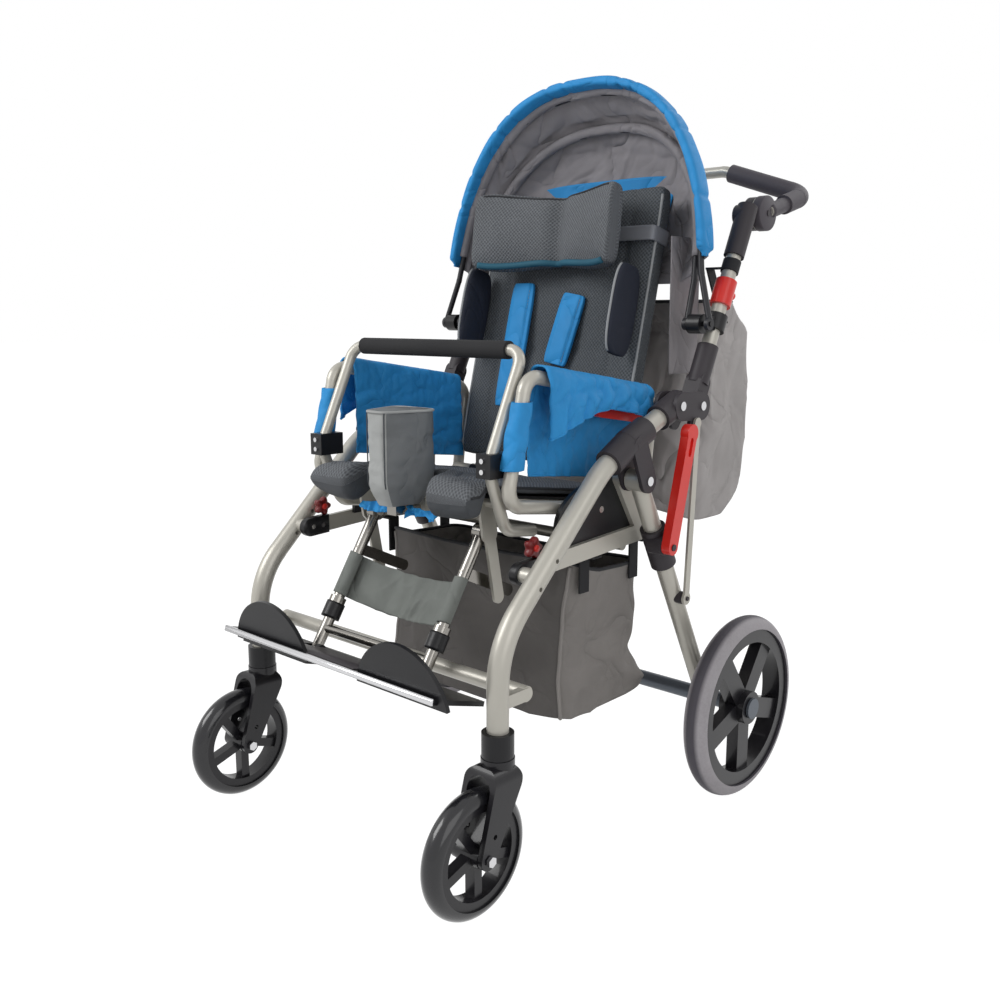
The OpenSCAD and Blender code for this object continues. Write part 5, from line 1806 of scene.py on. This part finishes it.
@dataclass
class Fittings:
    """Bolts, caps, knobs and plates that the CAD part leaves plain."""

    board_tilt: float = 17.0
    rail_x: tuple[float, float] = (227.5, 240.5)
    rail_nose: tuple[float, float] = (-434.0, 436.0)
    rail_radius: float = 15.5
    knob_at: tuple[float, float] = (-406.0, 468.0)
    handle_end: tuple[float, float, float] = (276.3, 259.0, 987.0)
    trim_x: tuple[float, float] = (13.0, 84.0)

    def build(self) -> None:
        """Makes every fitting."""
        self.wheel_bolts()
        self.frame_bolts()
        self.foot_rest()
        self.rail_ends()
        self.seat_trim()
        self.handle_covers()

    def wheel_bolts(self) -> None:
        """Makes axle bolts on the forks and caps on the rear hubs."""
        axle = (PLAN.stem_y - PLAN.caster_trail, PLAN.caster_radius)
        hub_at = (0.0, PLAN.wheel_radius)
        ways = np.array([[1, 0, 0], [-1, 0, 0]])
        for name, side in SIDES.items():
            places = np.array([side * PLAN.half_frame, *axle]) + ways * (PLAN.fork_half + 4)
            bolts = repeated(f"caster_bolts_{name}", places, ways, Head.HEX, 7.5, 5.0, CHROME)
            rides(f"caster_{name}", bolts)
            hub_end = side * (PLAN.wheel_half + PLAN.hub_half + 4.5)
            cap = disc(f"hub_cap_{name}", hub_end - side * 3, hub_end, hub_at, 15.0, RIM_BLACK)
            rides("rear_leg_frame", cap)

    def frame_bolts(self) -> None:
        """Makes the bolts of the frame's joints and the screws of the grab bar's clamps."""
        spots = [(PLAN.rear_pivot, 21.6), (PLAN.fold_at, 21.6), ((-125, 648), 20.9)]
        places, ways = [], []
        for side in SIDES.values():
            for (y, z), x in spots:
                places.append([side * (PLAN.half_frame + x), y, z])
                ways.append([side, 0, 0])
        frame_heads = repeated("frame_bolts", np.array(places), np.array(ways), Head.ROUND, 7.0, 3.0, CHROME)
        rides("frame", frame_heads)
        places, ways = [], []
        for side in SIDES.values():
            for z in (573, 588):
                places.append([side * 183, -453, z])
                ways.append([0, -1, 0])
        screws = repeated("clamp_screws", np.array(places), np.array(ways), Head.ROUND, 3.6, 5.0, CHROME)
        rides("grab", screws)

    def foot_rest(self) -> None:
        """Makes the foot board's bright front edge, its grey plate and the bar under it."""
        tilt = math.radians(self.board_tilt)
        fore = np.array([-math.cos(tilt), math.sin(tilt)])
        up = np.array([math.sin(tilt), math.cos(tilt)])

        def box(f0: float, f1: float, w0: float, w1: float) -> Points:
            corners = ((f0, w0), (f1, w0), (f1, w1), (f0, w1))
            return np.array([PLAN.foot_at + fore * f + up * w for f, w in corners])

        strip = slab("foot_edge", box(86, 91, 3, 12), -235.5, 235.5, CHROME, 0.8)
        plate = slab("foot_plate", box(8, 80, 10.8, 12.6), -92, 66, GREY_PLASTIC, 0.8)
        bar = slab("foot_bar", box(24, 60, -9, 4.2), -226, -60, BLACK_PLASTIC, 2.0)
        rides("foot", strip, plate, bar)
        for name, side in SIDES.items():
            path = spread(side * PLAN.leg_x, PLAN.leg(np.linspace(160, 186, 8), 0))
            clamp = tube(f"leg_clamp_{name}", path, 15.0, BLACK_PLASTIC, 20)
            rides("leg_rest", clamp)

    def rail_ends(self) -> None:
        """Makes the black ends of the seat rails with their rivets and red knobs."""
        inner, outer = self.rail_x
        turn = np.radians(np.linspace(90, 270, 16))
        nose = self.rail_nose + self.rail_radius * np.stack([np.cos(turn), np.sin(turn)], 1)
        shape = np.concatenate([nose, [[-396, 422.5], [-396, 453.5]]])
        whole = 2 * np.pi * np.arange(60) / 60
        lobes = 13.5 + 2.5 * np.cos(5 * whole)
        star = self.knob_at + np.stack([lobes * np.cos(whole), lobes * np.sin(whole)], 1)
        places, ways = [], []
        for name, side in SIDES.items():
            low, high = sorted((side * inner, side * outer))
            rides("frame", slab(f"rail_end_{name}", shape, low, high, BLACK_PLASTIC, 2.0))
            for y in (-430, -410):
                for x, way in ((inner, -side), (outer, side)):
                    places.append([side * x, y, 437])
                    ways.append([way, 0, 0])
            rides("frame", slab(f"tilt_knob_{name}", star, low, high, DARK_RED, 4.0))
            rides("frame", disc(f"tilt_stud_{name}", low - 3, high + 3, self.knob_at, 5.0, RED_PLASTIC))
        rivets = repeated("rail_rivets", np.array(places), np.array(ways), Head.ROUND, 4.0, 2.0, CHROME)
        rides("frame", rivets)

    def handle_covers(self) -> None:
        """Makes the plastic covers of the handle's joint discs and arms."""
        lean = math.radians(PLAN.push_lean)
        at = PLAN.push(353) + 36 * np.array([math.sin(lean), -math.cos(lean)])
        inner, outer = PLAN.half_frame + 1.0, PLAN.half_frame + 17.5
        start = np.array([278.3, at[0] + 14, at[1] + 4])
        arm = start + (self.handle_end - start) * np.linspace(0, 0.44, 12)[:, None]
        for name, side in SIDES.items():
            low, high = sorted((side * inner, side * outer))
            cover = tube(f"handle_arm_{name}", arm * [side, 1, 1], 12.5, GRIP, 24)
            rides("handle", disc(f"handle_disc_{name}", low, high, at, 28.2, GRIP), cover)

    def seat_trim(self) -> None:
        """Makes the blue cloth edge that shows in the seat's notch, on both sides of the pommel's stem."""
        x = np.linspace(*self.trim_x, 60)
        span = (x - x[0]) / (x[-1] - x[0])
        for name, side in SIDES.items():
            deep = 15 - 5 * span + 6 * ripple(np.column_stack([x, 0 * x, 0 * x]), 40, 8 + side)
            rows = []
            for share in np.linspace(0, 1, 18):
                y = -440 - 5 * share - 8 * span**2
                rows.append(np.column_stack([side * x, y, 504 - 4 * span - deep * share]))
            grid = np.array(rows)
            grid[..., 1] += 12 * crumple(grid, 34, 40 + side, (1, 0.4, 0.8))
            trim = cloth(f"seat_trim_{name}", grid, 1.6, BLUE)
            declare_sheet(grid)
            rides("seat", trim)


@dataclass
class Studio:
    """Camera, floor and lights."""

    eye: tuple[float, float, float] = (1.1343, -1.26205, 0.78189)
    azimuth: float = 42.6656
    elevation: float = 10.1688
    lens: float = 36.904

    def build(self) -> None:
        """Makes the stage."""
        self.camera()
        self.floor()
        self.lights()

    def camera(self) -> None:
        """Sets the camera at the photograph's angle."""
        data = bpy.data.cameras.new("view")
        data.lens = self.lens
        data.sensor_width = 36.0
        made = bpy.data.objects.new("view", data)
        bpy.context.scene.collection.objects.link(made)
        a, e = math.radians(self.azimuth), math.radians(self.elevation)
        back = Vector((math.sin(a) * math.cos(e), -math.cos(a) * math.cos(e), math.sin(e)))
        made.location = self.eye
        made.rotation_mode = "QUATERNION"
        made.rotation_quaternion = (-back).to_track_quat("-Z", "Y")
        bpy.context.scene.camera = made

    def background_ray(self, graph: Graph) -> Wire:
        """Tells the rays that show the background.

        Args:
            graph: the nodes of the floor or the world.

        Returns:
            1 for what the camera sees directly or mirrored, and 0 for other light.
        """
        direct = graph.node("ShaderNodeLightPath", output="Is Camera Ray")
        mirrored_ray = graph.node("ShaderNodeLightPath", output="Is Glossy Ray")
        return direct.maths("MAXIMUM", mirrored_ray)

    def floor(self) -> None:
        """Lays a pale floor that the camera sees as white."""
        data = bpy.data.meshes.new("floor")
        far = 30.0
        data.from_pydata([(-far, -far, 0), (far, -far, 0), (far, far, 0), (-far, far, 0)], [], [(0, 1, 2, 3)])
        made = bpy.data.objects.new("floor", data)
        bpy.context.scene.collection.objects.link(made)
        pale = bpy.data.materials.new("floor")
        pale.use_nodes = True
        graph = Graph(pale.node_tree)
        seen = self.background_ray(graph)
        matt = graph.node("ShaderNodeBsdfDiffuse", {"Color": (0.82, 0.82, 0.82, 1.0)})
        white = graph.node("ShaderNodeEmission", {"Color": (1.0, 1.0, 1.0, 1.0), "Strength": 1.22})
        mixed = graph.node("ShaderNodeMixShader", {0: seen * 0.8, 1: matt, 2: white})
        graph.node("ShaderNodeOutputMaterial", {"Surface": mixed})
        data.materials.append(pale)

    def lights(self) -> None:
        """Sets soft lights and a white world."""
        world = bpy.data.worlds.new("room")
        bpy.context.scene.world = world
        world.use_nodes = True
        graph = Graph(world.node_tree)
        seen = self.background_ray(graph)
        strength = seen * 0.6 + 0.4
        sky = graph.node("ShaderNodeBackground", {"Color": (1.0, 1.0, 1.0, 1.0), "Strength": strength})
        graph.node("ShaderNodeOutputWorld", {"Surface": sky})
        for name, place, size, power in (
            ("key", (-1.6, -2.6, 2.6), 1.8, 72.0),
            ("fill", (2.8, -0.9, 1.7), 2.2, 22.0),
            ("back", (0.8, 2.6, 2.4), 2.0, 26.0),
        ):
            data = bpy.data.lights.new(name, "AREA")
            data.energy = power
            data.size = size
            lamp = bpy.data.objects.new(name, data)
            lamp.location = place
            aim = Vector((0.0, 0.0, 0.6)) - Vector(place)
            lamp.rotation_mode = "QUATERNION"
            lamp.rotation_quaternion = aim.to_track_quat("-Z", "Y")
            bpy.context.scene.collection.objects.link(lamp)


def dress_nodes(finishes: dict[str, Finish]) -> None:
    """Gives each CAD node its finish.

    Args:
        finishes: the finish for each node that is shown.
    """
    for name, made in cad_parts.items():
        made.data.materials.clear()
        made.data.materials.append(finishes.get(name, GREY).material())


def main() -> None:
    """Builds the dressed buggy and its stage."""
    logging.basicConfig(level=logging.INFO)
    bpy.context.scene.view_settings.view_transform = "Standard"
    dress_nodes(NODE_FINISH)
    for assembly in (Cushions(), Hood(), Slings(), Fittings(), Studio()):
        log.info("building %s", type(assembly).__name__)
        assembly.build()


if __name__ == "__main__":
    main()
